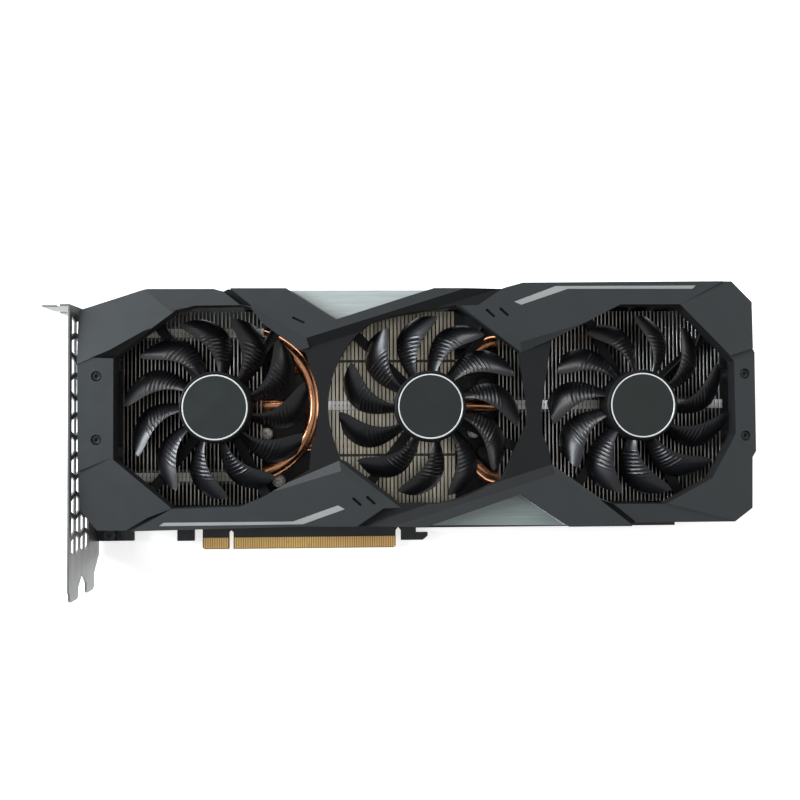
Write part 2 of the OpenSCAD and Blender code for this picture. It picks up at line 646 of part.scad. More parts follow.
module fan_bearing(fan) color([0.75, 0.58, 0.3]) difference() {
    rod([fan[0], 0], sleeve_r, arm_low + 0.8, 33);
    rod([fan[0], 0], shaft_r + shaft_fit, arm_low + 1.4, 34);
}

cup_r = 12.9;
module fan_magnet(fan) color([0.2, 0.2, 0.21]) difference() {
    rod([fan[0], 0], cup_r, 25.4, 33.4);
    rod([fan[0], 0], 10.6, 25, 34);
}

module fan_shaft(fan) color([0.8, 0.81, 0.82]) rod([fan[0], 0], shaft_r, arm_low + 1.8, 36.6);

// One blade: a cambered, pitched sheet whose middle line sweeps forward towards the tip.
// t runs 0 to 1 from root to tip, u runs -1 to 1 from trailing to leading edge.
blade_t = 1;
span_steps = 7;
chord_steps = 4;
root_r = hub_r - 0.8;
function half_chord(t) = 3.6 + 4.6 * t - 4.9 * pow(t, 4);
function blade_point(t, u, hand, lift) = let (
    r = root_r + (tip_r - root_r) * t,
    a = hand * (sweep * (0.35 * t + 0.65 * t * t) + u * half_chord(t) / r * 57.3)
) [r * cos(a), r * sin(a), (blade_low + blade_top) / 2 + u * (4.6 - 1.2 * t) + 0.9 * (1 - u * u) + lift];
module blade(hand) {
    n = chord_steps + 1;
    total = (span_steps + 1) * n;
    points = [for (lift = [blade_t / 2, -blade_t / 2], i = [0:span_steps], j = [0:chord_steps])
        blade_point(i / span_steps, 2 * j / chord_steps - 1, hand, lift)];
    sheet = [for (i = [0:span_steps - 1], j = [0:chord_steps - 1]) let (a = i * n + j)
        each [[a, a + 1, a + n], [a + 1, a + n + 1, a + n]]];
    under = [for (f = sheet) [f[2] + total, f[1] + total, f[0] + total]];
    rim = concat(
        [for (j = [0:chord_steps - 1]) [j, j + 1]],
        [for (i = [0:span_steps - 1]) [i * n + n - 1, (i + 1) * n + n - 1]],
        [for (j = [chord_steps:-1:1]) [span_steps * n + j, span_steps * n + j - 1]],
        [for (i = [span_steps:-1:1]) [i * n, (i - 1) * n]]
    );
    edge = [for (e = rim) each [[e[1], e[0], e[0] + total], [e[1], e[0] + total, e[1] + total]]];
    faces = concat(sheet, under, edge);
    polyhedron(points, hand > 0 ? faces : [for (f = faces) [f[2], f[1], f[0]]]);
}
module fan_rotor(fan) color([0.08, 0.08, 0.09]) translate([fan[0], 0, 0]) union() {
    difference() {
        rod([0, 0], hub_r, rotor_low, rotor_top);
        rod([0, 0], cup_r, rotor_low - 1, 35);
        rod([0, 0], shaft_r, 34, 36.6);
        rod([0, 0], label_r + 0.1, rotor_top - 0.6, rotor_top + 1);
    }
    difference() {
        rod([0, 0], 2.6, 33.6, 35.2);
        rod([0, 0], shaft_r, 33, 36);
    }
    for (i = [0:blades - 1]) rotate([0, 0, fan[3] + 360 * i / blades]) blade(fan[1]);
}
module fan_label(fan) color([0.13, 0.14, 0.15])
    rod([fan[0], 0], label_r, rotor_top - 0.6, rotor_top - 0.1);

// Flat leads from each fan's arm to its socket on the board, tucked behind the shroud's top wall
module lead(fan, spot) {
    y = spot.y;
    e = arm_end(fan, fan[2][0]);
    tube([[fan[0] + 17 * cos(fan[2][0]), 17 * sin(fan[2][0]), arm_top + 0.7],
        [e.x - 5.6, e.y - 5, arm_top + 0.7], [e.x - 1.8, e.y + 5.4, arm_top + 0.4],
        [e.x + 0.5, y - 0.6, 20], [(e.x + spot.x) / 2, y - 0.2, 15.4], [spot.x, y, 13.5],
        [spot.x, y, 11], [spot.x, y, board_front + 3.95]], 0.6, 8);
}
module fan_leads() place() color([0.06, 0.06, 0.06]) for (i = [0:2]) lead(FANS[i], FAN_SOCKETS[i]);
module fan_plugs() place() color([0.85, 0.84, 0.8]) for (s = FAN_SOCKETS)
    translate([s.x - 4, s.y - 1.8, board_front]) cube([8, 3.6, 3.9]);
module left_fan_mount() place() fan_mount(LEFT);
module left_fan_stator() place() fan_stator(LEFT);
module left_fan_bearing() place() fan_bearing(LEFT);
module left_fan_magnet() place() fan_magnet(LEFT);
module left_fan_shaft() place() fan_shaft(LEFT);
module left_fan_rotor() place() fan_rotor(LEFT);
module left_fan_label() place() fan_label(LEFT);
module middle_fan_mount() place() fan_mount(MIDDLE);
module middle_fan_stator() place() fan_stator(MIDDLE);
module middle_fan_bearing() place() fan_bearing(MIDDLE);
module middle_fan_magnet() place() fan_magnet(MIDDLE);
module middle_fan_shaft() place() fan_shaft(MIDDLE);
module middle_fan_rotor() place() fan_rotor(MIDDLE);
module middle_fan_label() place() fan_label(MIDDLE);
module right_fan_mount() place() fan_mount(RIGHT);
module right_fan_stator() place() fan_stator(RIGHT);
module right_fan_bearing() place() fan_bearing(RIGHT);
module right_fan_magnet() place() fan_magnet(RIGHT);
module right_fan_shaft() place() fan_shaft(RIGHT);
module right_fan_rotor() place() fan_rotor(RIGHT);
module right_fan_label() place() fan_label(RIGHT);

pcb();
edge_contacts();
gpu_substrate();
gpu_die();
memory_chips();
power_stages();
chokes();
capacitors();
small_components();
control_chips();
display_port_shells();
hdmi_shell();
display_inserts();
power_sockets();
power_pins();
io_bracket();
bracket_screws();
backplate();
backplate_screws();
spring_screws();
mount_springs();
shroud();
upper_trim_panel();
lower_trim_panel();
accent_strips();
shroud_screws();
fan_screws();
heatsink_base();
cold_plate();
fin_stack_left();
fin_stack_middle();
fin_stack_right();
heat_pipe_1();
heat_pipe_2();
heat_pipe_3();
heat_pipe_4();
thermal_pads();
fan_leads();
fan_plugs();
left_fan_mount();
left_fan_stator();
left_fan_bearing();
left_fan_magnet();
left_fan_shaft();
left_fan_rotor();
left_fan_label();
middle_fan_mount();
middle_fan_stator();
middle_fan_bearing();
middle_fan_magnet();
middle_fan_shaft();
middle_fan_rotor();
middle_fan_label();
right_fan_mount();
right_fan_stator();
right_fan_bearing();
right_fan_magnet();
right_fan_shaft();
right_fan_rotor();
right_fan_label();
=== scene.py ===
"""Looks of the graphics card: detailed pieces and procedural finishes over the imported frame."""
import math
import random

import bmesh
import bpy
from mathutils import Matrix, Vector
from mathutils.geometry import delaunay_2d_cdt


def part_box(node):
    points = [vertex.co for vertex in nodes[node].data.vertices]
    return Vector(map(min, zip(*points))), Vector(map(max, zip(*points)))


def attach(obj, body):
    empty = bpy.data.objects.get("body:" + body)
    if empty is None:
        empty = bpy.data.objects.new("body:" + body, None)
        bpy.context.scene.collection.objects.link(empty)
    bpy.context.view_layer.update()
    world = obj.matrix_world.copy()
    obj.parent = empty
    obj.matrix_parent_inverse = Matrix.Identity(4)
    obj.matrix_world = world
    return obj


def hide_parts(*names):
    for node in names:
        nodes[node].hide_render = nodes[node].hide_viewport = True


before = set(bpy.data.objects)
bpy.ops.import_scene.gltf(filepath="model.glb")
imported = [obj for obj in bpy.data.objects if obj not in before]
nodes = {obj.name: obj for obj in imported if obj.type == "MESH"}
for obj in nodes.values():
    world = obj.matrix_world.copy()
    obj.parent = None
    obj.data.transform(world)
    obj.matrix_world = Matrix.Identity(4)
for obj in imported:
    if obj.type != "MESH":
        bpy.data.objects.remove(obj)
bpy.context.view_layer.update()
scene = bpy.context.scene

# Lengths in the part's shapes are millimetres from the middle fan's axis and the resting face.
label_low, label_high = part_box("middle_fan_label")
AXIS = (label_low + label_high) / 2

# ---- Camera and light -----------------------------------------------------------------------

# The camera looks down on the card from above, a little turned and tilted
CAMERA_PLACE = (-0.01314, 0.00719, 0.38876)
LENS, SENSOR = 38.75, 36
WORLD_STRENGTH = 0.44


def turn(degrees, axis):
    return Matrix.Rotation(math.radians(degrees), 3, axis)


camera = bpy.data.objects.new("camera", bpy.data.cameras.new("camera"))
camera.data.lens = LENS
camera.data.sensor_width = SENSOR
camera.data.clip_start = 0.01
to_camera = turn(0.345, "Z") @ turn(-1.464, "X") @ turn(1.995, "Y")
camera.matrix_world = Matrix.Translation(CAMERA_PLACE) @ to_camera.transposed().to_4x4()
scene.collection.objects.link(camera)
scene.camera = camera
scene.view_settings.view_transform = "Standard"


def area_light(name, place, target, size, power, colour):
    """A rectangular light at a place, turned to face a target; lengths in metres."""
    data = bpy.data.lights.new(name, "AREA")
    data.shape = "RECTANGLE"
    data.size, data.size_y = size
    data.energy = power
    data.color = colour
    light = bpy.data.objects.new(name, data)
    light.location = place
    light.rotation_euler = (Vector(target) - Vector(place)).to_track_quat("-Z", "Y").to_euler()
    scene.collection.objects.link(light)


area_light("key", (-1.9, 0.5, 0.8), (-0.02, 0, 0.02), (0.9, 1.6), 84, (0.88, 0.94, 1))
area_light("back", (-0.3, 1.9, 0.95), (0, 0, 0), (2, 0.9), 30, (1, 1, 1))
area_light("right", (1.9, 0.1, 0.8), (0, 0, 0), (0.8, 1.4), 9, (1, 0.98, 0.95))
world = bpy.data.worlds.new("studio")
scene.world = world
world.use_nodes = True
background = world.node_tree.nodes["Background"]
background.inputs["Color"].default_value = (1, 1, 1, 1)
background.inputs["Strength"].default_value = WORLD_STRENGTH


# ---- Finishes -------------------------------------------------------------------------------

MOTTLE_SCALE, SMUDGE_SCALE = 55, 130  # noise scales of the colour and of the roughness
NOISE_RANGE = (0.3, 0.7)  # the part of the noise that the spread uses
WORN_FROM, WORN_FULL = 0.53, 0.62  # pointiness where wear on an edge starts and is complete
COAT_ROUGH = 0.08
BUMP_STRENGTH = 0.35


def finish(name, colour, rough, metal=0.0, specular=0.5, coat=0.0, grain=900, grain_depth=0.02,
           mottle=0.12, smudge=0.08, stretch=(1, 1, 1), edge=0.0, edge_colour=None):
    """A moulded, painted or rolled finish: mottle, uneven roughness, fine grain, worn edges."""
    made = bpy.data.materials.new(name)
    made.use_nodes = True
    tree = made.node_tree
    shader = tree.nodes["Principled BSDF"]
    shader.inputs["Metallic"].default_value = metal
    shader.inputs["Specular IOR Level"].default_value = specular
    shader.inputs["Coat Weight"].default_value = coat
    shader.inputs["Coat Roughness"].default_value = COAT_ROUGH
    place = tree.nodes.new("ShaderNodeTexCoord")
    scaled = tree.nodes.new("ShaderNodeMapping")
    scaled.inputs["Scale"].default_value = stretch
    tree.links.new(place.outputs["Object"], scaled.inputs["Vector"])

    def texture(scale, detail):
        node = tree.nodes.new("ShaderNodeTexNoise")
        node.inputs["Scale"].default_value = scale
        node.inputs["Detail"].default_value = detail
        tree.links.new(scaled.outputs["Vector"], node.inputs["Vector"])
        return node.outputs["Fac"]

    def spread(value, low, high):
        node = tree.nodes.new("ShaderNodeMapRange")
        node.inputs["From Min"].default_value = NOISE_RANGE[0]
        node.inputs["From Max"].default_value = NOISE_RANGE[1]
        node.inputs["To Min"].default_value = low
        node.inputs["To Max"].default_value = high
        tree.links.new(value, node.inputs["Value"])
        return node.outputs["Result"]

    def blend(factor, a, b):
        node = tree.nodes.new("ShaderNodeMix")
        node.data_type = "RGBA"
        tree.links.new(factor, node.inputs["Factor"])
        for socket, value in ((node.inputs["A"], a), (node.inputs["B"], b)):
            if isinstance(value, tuple):
                socket.default_value = (*value, 1)
            else:
                tree.links.new(value, socket)
        return node.outputs["Result"]

    dark = tuple(c * (1 - mottle) for c in colour)
    light = tuple(min(1, c * (1 + mottle)) for c in colour)
    tone = blend(spread(texture(MOTTLE_SCALE, 5), 0, 1), dark, light)
    if edge:
        worn = edge_colour or tuple(min(1, c * 2.2 + 0.02) for c in colour)
        shape = tree.nodes.new("ShaderNodeNewGeometry")
        ramp = tree.nodes.new("ShaderNodeMapRange")
        ramp.inputs["From Min"].default_value = WORN_FROM
        ramp.inputs["From Max"].default_value = WORN_FULL
        ramp.inputs["To Max"].default_value = edge
        tree.links.new(shape.outputs["Pointiness"], ramp.inputs["Value"])
        tone = blend(ramp.outputs["Result"], tone, worn)
    tree.links.new(tone, shader.inputs["Base Color"])
    uneven = spread(texture(SMUDGE_SCALE, 4), rough - smudge / 2, rough + smudge / 2)
    tree.links.new(uneven, shader.inputs["Roughness"])
    bump = tree.nodes.new("ShaderNodeBump")
    bump.inputs["Strength"].default_value = BUMP_STRENGTH
    bump.inputs["Distance"].default_value = grain_depth / 1000
    tree.links.new(texture(grain, 3), bump.inputs["Height"])
    tree.links.new(bump.outputs["Normal"], shader.inputs["Normal"])
    return made


SHROUD = finish("shroud_plastic", (0.0135, 0.0165, 0.0175), 0.44, specular=0.36, grain=2600,
                grain_depth=0.03, mottle=0.1, edge=0.35)
# A darker copy of the shroud plastic: painted shade on the areas marked deep and on the walls round
# the windows
PAINTED_SHADE = finish("shroud_plastic_painted_shade", (0.005, 0.0055, 0.006), 0.5, specular=0.16, grain=2600,
               grain_depth=0.03, mottle=0.1, edge=0.25)
BLADE = finish("blade_plastic", (0.0065, 0.0068, 0.0085), 0.34, specular=0.5, coat=0.12, grain=1400,
               grain_depth=0.01, smudge=0.1)
HUB = finish("hub_plastic", (0.004, 0.0045, 0.0047), 0.5, specular=0.15, grain=1800,
             grain_depth=0.01)
LABEL = finish("label_face", (0.014, 0.018, 0.017), 0.4, specular=0.4, grain=3200, grain_depth=0.01,
               mottle=0.08)
# Light grey: the ring round each label, and a painted highlight on the valley panels' rim and band
RING_AND_PANEL_HIGHLIGHT = finish("hub_ring_and_panel_highlight", (0.72, 0.74, 0.74), 0.35, metal=0.3, grain=2400, grain_depth=0.01)
TRIM_LIGHT = finish("trim_light", (0.46, 0.51, 0.5), 0.4, metal=0.4, stretch=(1, 14, 1), grain=1500,
                    edge=0.2)
TRIM_MID = finish("trim_mid", (0.27, 0.32, 0.31), 0.38, metal=0.45, stretch=(1, 14, 1), grain=1500)
SILVER = finish("accent_silver", (0.34, 0.35, 0.345), 0.36, metal=0.3, grain=2200,
                grain_depth=0.015, mottle=0.06)
FIN = finish("fin_aluminium", (0.6, 0.59, 0.55), 0.34, metal=0.8, stretch=(8, 1, 1), grain=1200,
             mottle=0.4)
# A dark copy of the fin aluminium: painted shade on the fins below the lip, the strips below the
# gaps, the ears and their posts
FIN_PAINTED_SHADE = finish("fin_painted_shade", (0.1, 0.1, 0.095), 0.45, metal=1.0, stretch=(8, 1, 1), grain=1200,
                  mottle=0.3)
TAB = finish("fin_tab", (0.95, 0.9, 0.7), 0.35, metal=0.2, grain=700, grain_depth=0.25, mottle=0.5)
BASE = finish("cooler_base", (0.025, 0.025, 0.026), 0.4, metal=0.5, grain=900, grain_depth=0.02,
              mottle=0.2)
FIN_WARM = finish("fin_warm", (0.72, 0.66, 0.53), 0.36, metal=0.7, stretch=(8, 1, 1), grain=1400,
                  mottle=0.3)
COPPER = finish("copper", (0.93, 0.42, 0.22), 0.24, metal=1.0, grain=700, grain_depth=0.015,
                mottle=0.18, smudge=0.14)
GOLD = finish("gold", (1, 0.6, 0.2), 0.3, metal=0.15, grain=1500, grain_depth=0.01, mottle=0.12)
STEEL = finish("bracket_steel", (0.22, 0.22, 0.215), 0.4, metal=0.9, stretch=(1, 1, 9), grain=1600,
               edge=0.3, edge_colour=(0.5, 0.5, 0.49))
BRIGHT = finish("bright_screw", (0.78, 0.78, 0.8), 0.2, metal=1.0, grain=1800, grain_depth=0.01)
BLACK_STEEL = finish("black_screw", (0.03, 0.03, 0.032), 0.34, metal=0.6, grain=1800, edge=0.5)
BOARD = finish("board_mask", (0.018, 0.02, 0.022), 0.38, grain=420, grain_depth=0.03, mottle=0.3,
               smudge=0.14)
BACKPLATE = finish("backplate_metal", (0.03, 0.031, 0.034), 0.36, metal=0.7, stretch=(1, 26, 1),
                   grain=900, edge=0.5)
BLACK = finish("black_plastic", (0.006, 0.006, 0.0065), 0.5, specular=0.25, grain=2200,
               grain_depth=0.03, edge=0.2)
CHIP = finish("chip_plastic", (0.025, 0.025, 0.027), 0.5, grain=3000, grain_depth=0.03)
CHOKE = finish("choke_body", (0.09, 0.095, 0.1), 0.5, metal=0.4, grain=2600, grain_depth=0.06,
               mottle=0.2)
CAN = finish("can_metal", (0.06, 0.06, 0.065), 0.35, metal=0.8, grain=1600, grain_depth=0.01)
CERAMIC = finish("ceramic_parts", (0.4, 0.28, 0.17), 0.4, grain=3000, grain_depth=0.02, mottle=0.3)
SUBSTRATE = finish("substrate", (0.03, 0.1, 0.05), 0.35, grain=900, grain_depth=0.01, mottle=0.2)
SILICON = finish("silicon", (0.1, 0.11, 0.14), 0.12, metal=0.3, grain=500, grain_depth=0.004,
                 smudge=0.04)
SHELL = finish("steel_shell", (0.7, 0.7, 0.71), 0.28, metal=1.0, stretch=(9, 1, 1), grain=1500)
PAD = finish("thermal_pad", (0.28, 0.36, 0.46), 0.75, grain=1200, grain_depth=0.06, specular=0.2)
SLEEVE = finish("lead_sleeve", (0.014, 0.014, 0.014), 0.5, grain=1600, grain_depth=0.04)
WINDING = finish("winding", (0.6, 0.25, 0.1), 0.3, metal=0.9, stretch=(1, 1, 20), grain=900,
                 grain_depth=0.08)
BRONZE = finish("bronze", (0.55, 0.36, 0.16), 0.4, metal=0.9, grain=2600, grain_depth=0.03)
MAGNET = finish("magnet", (0.05, 0.05, 0.055), 0.6, grain=2600, grain_depth=0.05)
FLOOR = finish("floor_paper", (0.9, 0.9, 0.9), 0.8, grain=500, grain_depth=0.02, mottle=0.01,
               specular=0.1)

# The floor is a light table, which keeps the shadows pale
floor_shader = FLOOR.node_tree.nodes["Principled BSDF"]
floor_shader.inputs["Emission Color"].default_value = (1, 1, 1, 1)
floor_shader.inputs["Emission Strength"].default_value = 0.6


# ---- Mesh helpers ---------------------------------------------------------------------------


def from_bmesh(name, bm, *materials):
    """A new object made of a bmesh, which is freed."""
    mesh = bpy.data.meshes.new(name)
    bm.to_mesh(mesh)
    bm.free()
    for material in materials:
        mesh.materials.append(material)
    made = bpy.data.objects.new(name, mesh)
    scene.collection.objects.link(made)
    return made


def rounded(name, bm, centre, crease, *materials):
    """A smooth object moved to a centre, with edges sharper than the crease angle kept sharp."""
    bmesh.ops.recalc_face_normals(bm, faces=bm.faces)
    bmesh.ops.translate(bm, verts=bm.verts, vec=centre)
    made = from_bmesh(name, bm, *materials)
    made.data.shade_smooth()
    made.data.set_sharp_from_angle(angle=math.radians(crease))
    return made


def settle(made):
    """Applies an object's modifiers to its mesh."""
    view = bpy.context.evaluated_depsgraph_get()
    mesh = bpy.data.meshes.new_from_object(made.evaluated_get(view))
    made.modifiers.clear()
    made.data = mesh


def to_frame(made):
    """Moves a mesh drawn in millimetres from the middle fan's axis into the row frame."""
    made.data.transform(Matrix.Translation((AXIS.x, AXIS.y, 0)) @ Matrix.Scale(0.001, 4))


def bevelled(made, width, segments):
    """Adds a bevel of a width in millimetres to an object's edges."""
    bevel = made.modifiers.new("bevel", "BEVEL")
    bevel.width = width / 1000
    bevel.segments = segments
    return bevel


def level(z):
    """A height function that is z everywhere."""
    return lambda x, y: z


def plane(a, b, c):
    """A height function: the plane through three points."""
    n = (Vector(b) - Vector(a)).cross(Vector(c) - Vector(a))
    return lambda x, y: a[2] - (n.x * (x - a[0]) + n.y * (y - a[1])) / n.z


def closed_pairs(points):
    """Each point with the next one, and the last with the first."""
    return zip(points, points[1:] + points[:1])


def is_counter_clockwise(outline):
    return sum(a[0] * b[1] - b[0] * a[1] for a, b in closed_pairs(outline)) > 0


def counter_clockwise(outline):
    return outline if is_counter_clockwise(outline) else outline[::-1]


def prism_into(bm, outline, low, high):
    """A closed prism over an outline, between two heights."""
    under = [bm.verts.new((x, y, low)) for x, y in outline]
    over = [bm.verts.new((x, y, high)) for x, y in outline]
    faces = [under[::-1], over]
    faces += [[a, b, d, c] for (a, b), (c, d) in zip(closed_pairs(under), closed_pairs(over))]
    outward = is_counter_clockwise(outline)
    for f in faces:
        bm.faces.new(f if outward else f[::-1])


def box_into(bm, a, b, material=0):
    """A box between two opposite corners."""
    x0, y0, z0 = a
    x1, y1, z1 = b
    v = [bm.verts.new(p) for p in ((x0, y0, z0), (x1, y0, z0), (x1, y1, z0), (x0, y1, z0),
                                   (x0, y0, z1), (x1, y0, z1), (x1, y1, z1), (x0, y1, z1))]
    for q in ((3, 2, 1, 0), (4, 5, 6, 7), (0, 1, 5, 4), (1, 2, 6, 5), (2, 3, 7, 6), (3, 0, 4, 7)):
        bm.faces.new([v[i] for i in q]).material_index = material


def circle(x, y, r, count):
    turns = [2 * math.pi * i / count for i in range(count)]
    return [(x + r * math.cos(a), y + r * math.sin(a)) for a in turns]


def arc(x, y, r, degrees):
    """Points of a circle at the given angles."""
    turns = [math.radians(a) for a in degrees]
    return [(x + r * math.cos(a), y + r * math.sin(a)) for a in turns]


def grow(outline, d):
    """An outline moved outwards by d, for a counter-clockwise outline."""
    out = []
    count = len(outline)
    for i in range(count):
        a, b, c = Vector(outline[i - 1]), Vector(outline[i]), Vector(outline[(i + 1) % count])
        n1 = (b - a).normalized()
        n2 = (c - b).normalized()
        n1, n2 = Vector((n1.y, -n1.x)), Vector((n2.y, -n2.x))
        m = (n1 + n2).normalized()
        p = b + m * d / m.dot(n1)
        out.append((p.x, p.y))
    return out


def half_turn(points):
    """Points turned by half a turn about the middle fan's axis."""
    return [(-x, -y) for x, y in points]


# ---- Shroud ---------------------------------------------------------------------------------

OUTLINE = [
    (-142, -41.2), (-135, -49.4), (-119.3, -49.4), (-53, -48.2), (-2, -48.8), (11.2, -44.4),
    (36.4, -36), (48.7, -44.4), (56, -49.4), (81.5, -49.4), (84, -48.2), (125.2, -48.2),
    (132.7, -42.6), (132.7, -21.6), (134.2, -19.2), (134.2, 21.6), (133.2, 23.4), (133.2, 42.4),
    (124.8, 51), (38, 50.4), (30, 48.2), (1.5, 48.2), (-10.4, 44.4), (-38.4, 35.4),
    (-52.6, 44.4), (-58.5, 48.2), (-82.5, 48.2), (-84.5, 47.2), (-88, 48.2), (-116, 48.2),
    (-142.9, 39.8)]
PITCH = 87.6  # between the fan axes
WINDOW_R = 42
WINDOWS = [
    [(-49.6, -25.6), *arc(-PITCH, 0, WINDOW_R, range(-22, 23, 4)), (-51, 22.4), (-53, 23),
     (-68.4, 34.2), (-73, 40.4), (-77.2, 41.4), (-95.4, 41.2), (-103, 39.2), (-128, 20.5),
     (-128, -20.8), (-104.6, -40.6), (-77.2, -40), (-68.4, -36.4)],
    [*arc(0, 0, WINDOW_R, range(124, 201, 4)), (-37, -21.6), (-34.4, -22.6), (-12.8, -39.6),
     (3.4, -39.8), (11.6, -37.8), (29.2, -30.2), (39.8, -7.9), (40.4, -2.6), (39.9, 2.4),
     (36.8, 22.4), (10.6, 41.4), (-12.4, 37.6)],
    [(49.4, -24), (69, -38), (75.4, -40.4), (96, -40.6), (115.6, -30.2), (125.8, -11.8),
     (125.6, 18), (120, 24), (103, 41.4), (78.2, 41.4), (49.8, 27), (48.6, 18.8),
     (46.6, 6.4), (45.6, -1.8), (45.8, -11.6), (48.6, -18.2)]]
STRIPS = [
    [(-109.8, -47.6), (-52, -47.4), (-34.8, -41.4), (-37.9, -39.7), (-56, -46), (-107.8, -46)],
    [(34, 42.6), (37.2, 41.2), (56.4, 47.7), (108.2, 47.7), (110, 49.3), (51.4, 49.1)]]
SCREWS = [(-134.9, 12.8), (-134.9, -12.8), (130, 12.8), (130, -12.8)]
POSTS = [(-112, 44.3), (-112, -44.6), (96, 44.6), (104, -44.4)]
ARMS = [(-PITCH, (54, 127, 230, 297)), (0, (53, 135, 232, 335)), (PITCH, (43, 117, 234, 298))]
HIGH, LOW = 39.8, 37.8  # raised faces and main face of the front
GROOVE = 36.6  # bottom of the deep grooves and of the screw recesses
CEILING = 34.6  # inner side of the front
SLOT_FLOOR, STRIP_SEAT = 38.8, 38.6
PANEL_LOW, PANEL_T = 33.3, 1  # underside and thickness of the valley panels
# The bands are light grey, a painted highlight along the panels' outer sides
BAND_LOW, BAND_T, BAND_INSET = 18, 1.2, 4  # the bright bands below the panels' outer sides
COLLAR_LOW = 31.8  # lower edge of the collars round the windows
SIDE_FOOT, VALLEY_FOOT, END_FOOT = 15, 21.9, 2  # lower edge of the outer walls
WALL, COLLAR = 1.8, 1.2  # thickness of the outer walls and of the collars
BOARD_TOP, ARM_TOP = 4.6, 23.8
POST_TOP = 34.8  # the posts reach a little into the front
POST_R, ARM_POST_R, RECESS_R = 2.9, 2.4, 2.1
ARM_REACH = 45.5  # radius at which posts hold the motor arms
RIM_LOW = 34  # edges of the outline above this height are the front's rim
SAME_HEIGHT = 0.16  # heights at one corner that are closer than this are joined
CREASE_W, RIM_W = 0.3, 0.8  # rounding of the creases and of the front's rim
FLAT_ANGLE = 4  # degrees; creases flatter than this stay unrounded


def flat_between():
    """The main face between the raised faces."""
    upper = [(-49.3, 24.2), (34, 50.1), (30, 48.2), (19.5, 41.2), (12.5, 41.2), (37.4, 21.9),
             (70, 35.5), (60, 0)]
    return upper + [(53, -23)] + half_turn(upper) + [(-53, 23)]


def carvings():
    """Areas of the front cut below the highest face: an outline, the height left over it, and on
    some a mark for painted shade.
    """
    # These have a twin, turned by half a turn
    paired = [
        # Ramp below the long upper face, darkened with painted shade
        ([(-50.5, 27.9), (13.8, 47.9), (22.9, 50.75), (34, 50.1), (-49.3, 24.2)],
         plane((-50.5, 27.9, HIGH), (13.8, 47.9, HIGH), (-49.3, 24.2, LOW)), "deep"),
        # Bevel beside the window
        ([(-72.2, 40.9), (-50.5, 27.9), (-49.3, 24.2), (-53, 23), (-66, 30), (-77.2, 41.4)],
         plane((-72.2, 40.9, HIGH), (-50.5, 27.9, HIGH), (-53, 23, 37.2))),
        # Bevel, ramp and end slope of the high right face
        ([(12.5, 41.2), (37.4, 21.9), (36.6, 26), (19.5, 41.2)],
         plane((12.5, 41.2, LOW), (37.4, 21.9, LOW), (36.6, 26, HIGH))),
        ([(36.6, 26), (60.1, 32.9), (70, 35.5), (37.4, 21.9)],
         plane((36.6, 26, HIGH), (60.1, 32.9, HIGH), (37.4, 21.9, LOW)))]
    single = [
        # The main face, the grooves and the chamfer at the left end are darkened with painted shade
        (flat_between(), level(LOW), "deep"),
        # Grooves at the ends of the two long faces
        ([(-86, 48.6), (-77.1, 41.5), (-72.2, 40.9), (-83.5, 50)], level(GROOVE), "deep"),
        ([(68.7, -38.4), (81.4, -48.5), (82.6, -50), (86.5, -50), (84.2, -48), (74.5, -40.2)],
         level(GROOVE), "deep"),
        ([(-104.3, -40.5), (-121.4, -49.8), (-124, -49.8), (-114.5, -44.3)], level(36.8), "deep"),
        # Left end: strip above the window, upper facet, chamfer, screw panel, lower facet
        ([(-116, 49), (-105, 39.5), (-94.5, 40.6), (-76, 40.6), (-77.1, 41.6), (-86, 48.6),
          (-86, 49)],
         plane((-105, 40, 39.3), (-77, 40, 39.3), (-95, 48.2, 37.9))),
        ([(-144, 40), (-144, 17), (-136, 20.5), (-127, 19.8), (-102, 38.6), (-105, 39.5),
          (-116, 49), (-125, 50)],
         plane((-136, 20.5, 38.7), (-105, 39.5, 39.1), (-130, 44, 36.2))),
        ([(-136.9, 20.3), (-129.4, 23.4), (-116, 30.9), (-113, 32), (-113, 30.6), (-127, 19.9)],
         plane((-136.9, 20.3, 38.4), (-113, 32.8, 38.9), (-128, 20.5, 36.2)), "deep"),
        ([(-144, 17), (-136, 20.5), (-127, 20.5), (-127, -19.2), (-128.1, -19.7), (-144, -26.2)],
         plane((-141.8, 0, 38.25), (-141.8, 10, 38.25), (-128, 0, 38.7))),
        ([(-144, -26.2), (-128.1, -19.7), (-127, -19.2), (-104, -40), (-105, -40.4), (-122, -49.6),
          (-122, -52), (-144, -52)],
         plane((-128.1, -19.7, 38.7), (-105, -40.4, 38.7), (-138, -45, 36.4))),
        # Right end: upper corner, screw panel, lower facet and the strip below the window
        ([(102, 40.6), (103, 41.4), (123, 52), (136, 52), (136, 24), (124.8, 20.4), (119, 22)],
         plane((103, 41.4, 39.8), (124.8, 20.4, 39.8), (129, 46.7, 39.1))),
        ([(124, 20.4), (136, 24), (136, -21), (125.4, -14), (124, -14)], level(38.7)),
        ([(124, -14), (125.4, -14), (136, -21), (136, -52), (125.3, -48.6), (95.5, -40.1),
          (110, -25)],
         plane((125.4, -14, 39.2), (95.5, -40.1, 39.2), (131, -44, 37.9))),
        ([(72, -40), (74.5, -40.2), (84.2, -48), (86.5, -52), (125.3, -52), (125.3, -47.9),
          (95.5, -40.1), (94, -39)],
         plane((77, -40.3, 38.6), (95.5, -40.3, 38.6), (100, -48.2, 37.5)))]
    twins = [(half_turn(area), lambda x, y, h=h: h(-x, -y), *tone) for area, h, *tone in paired]
    return single + paired + twins


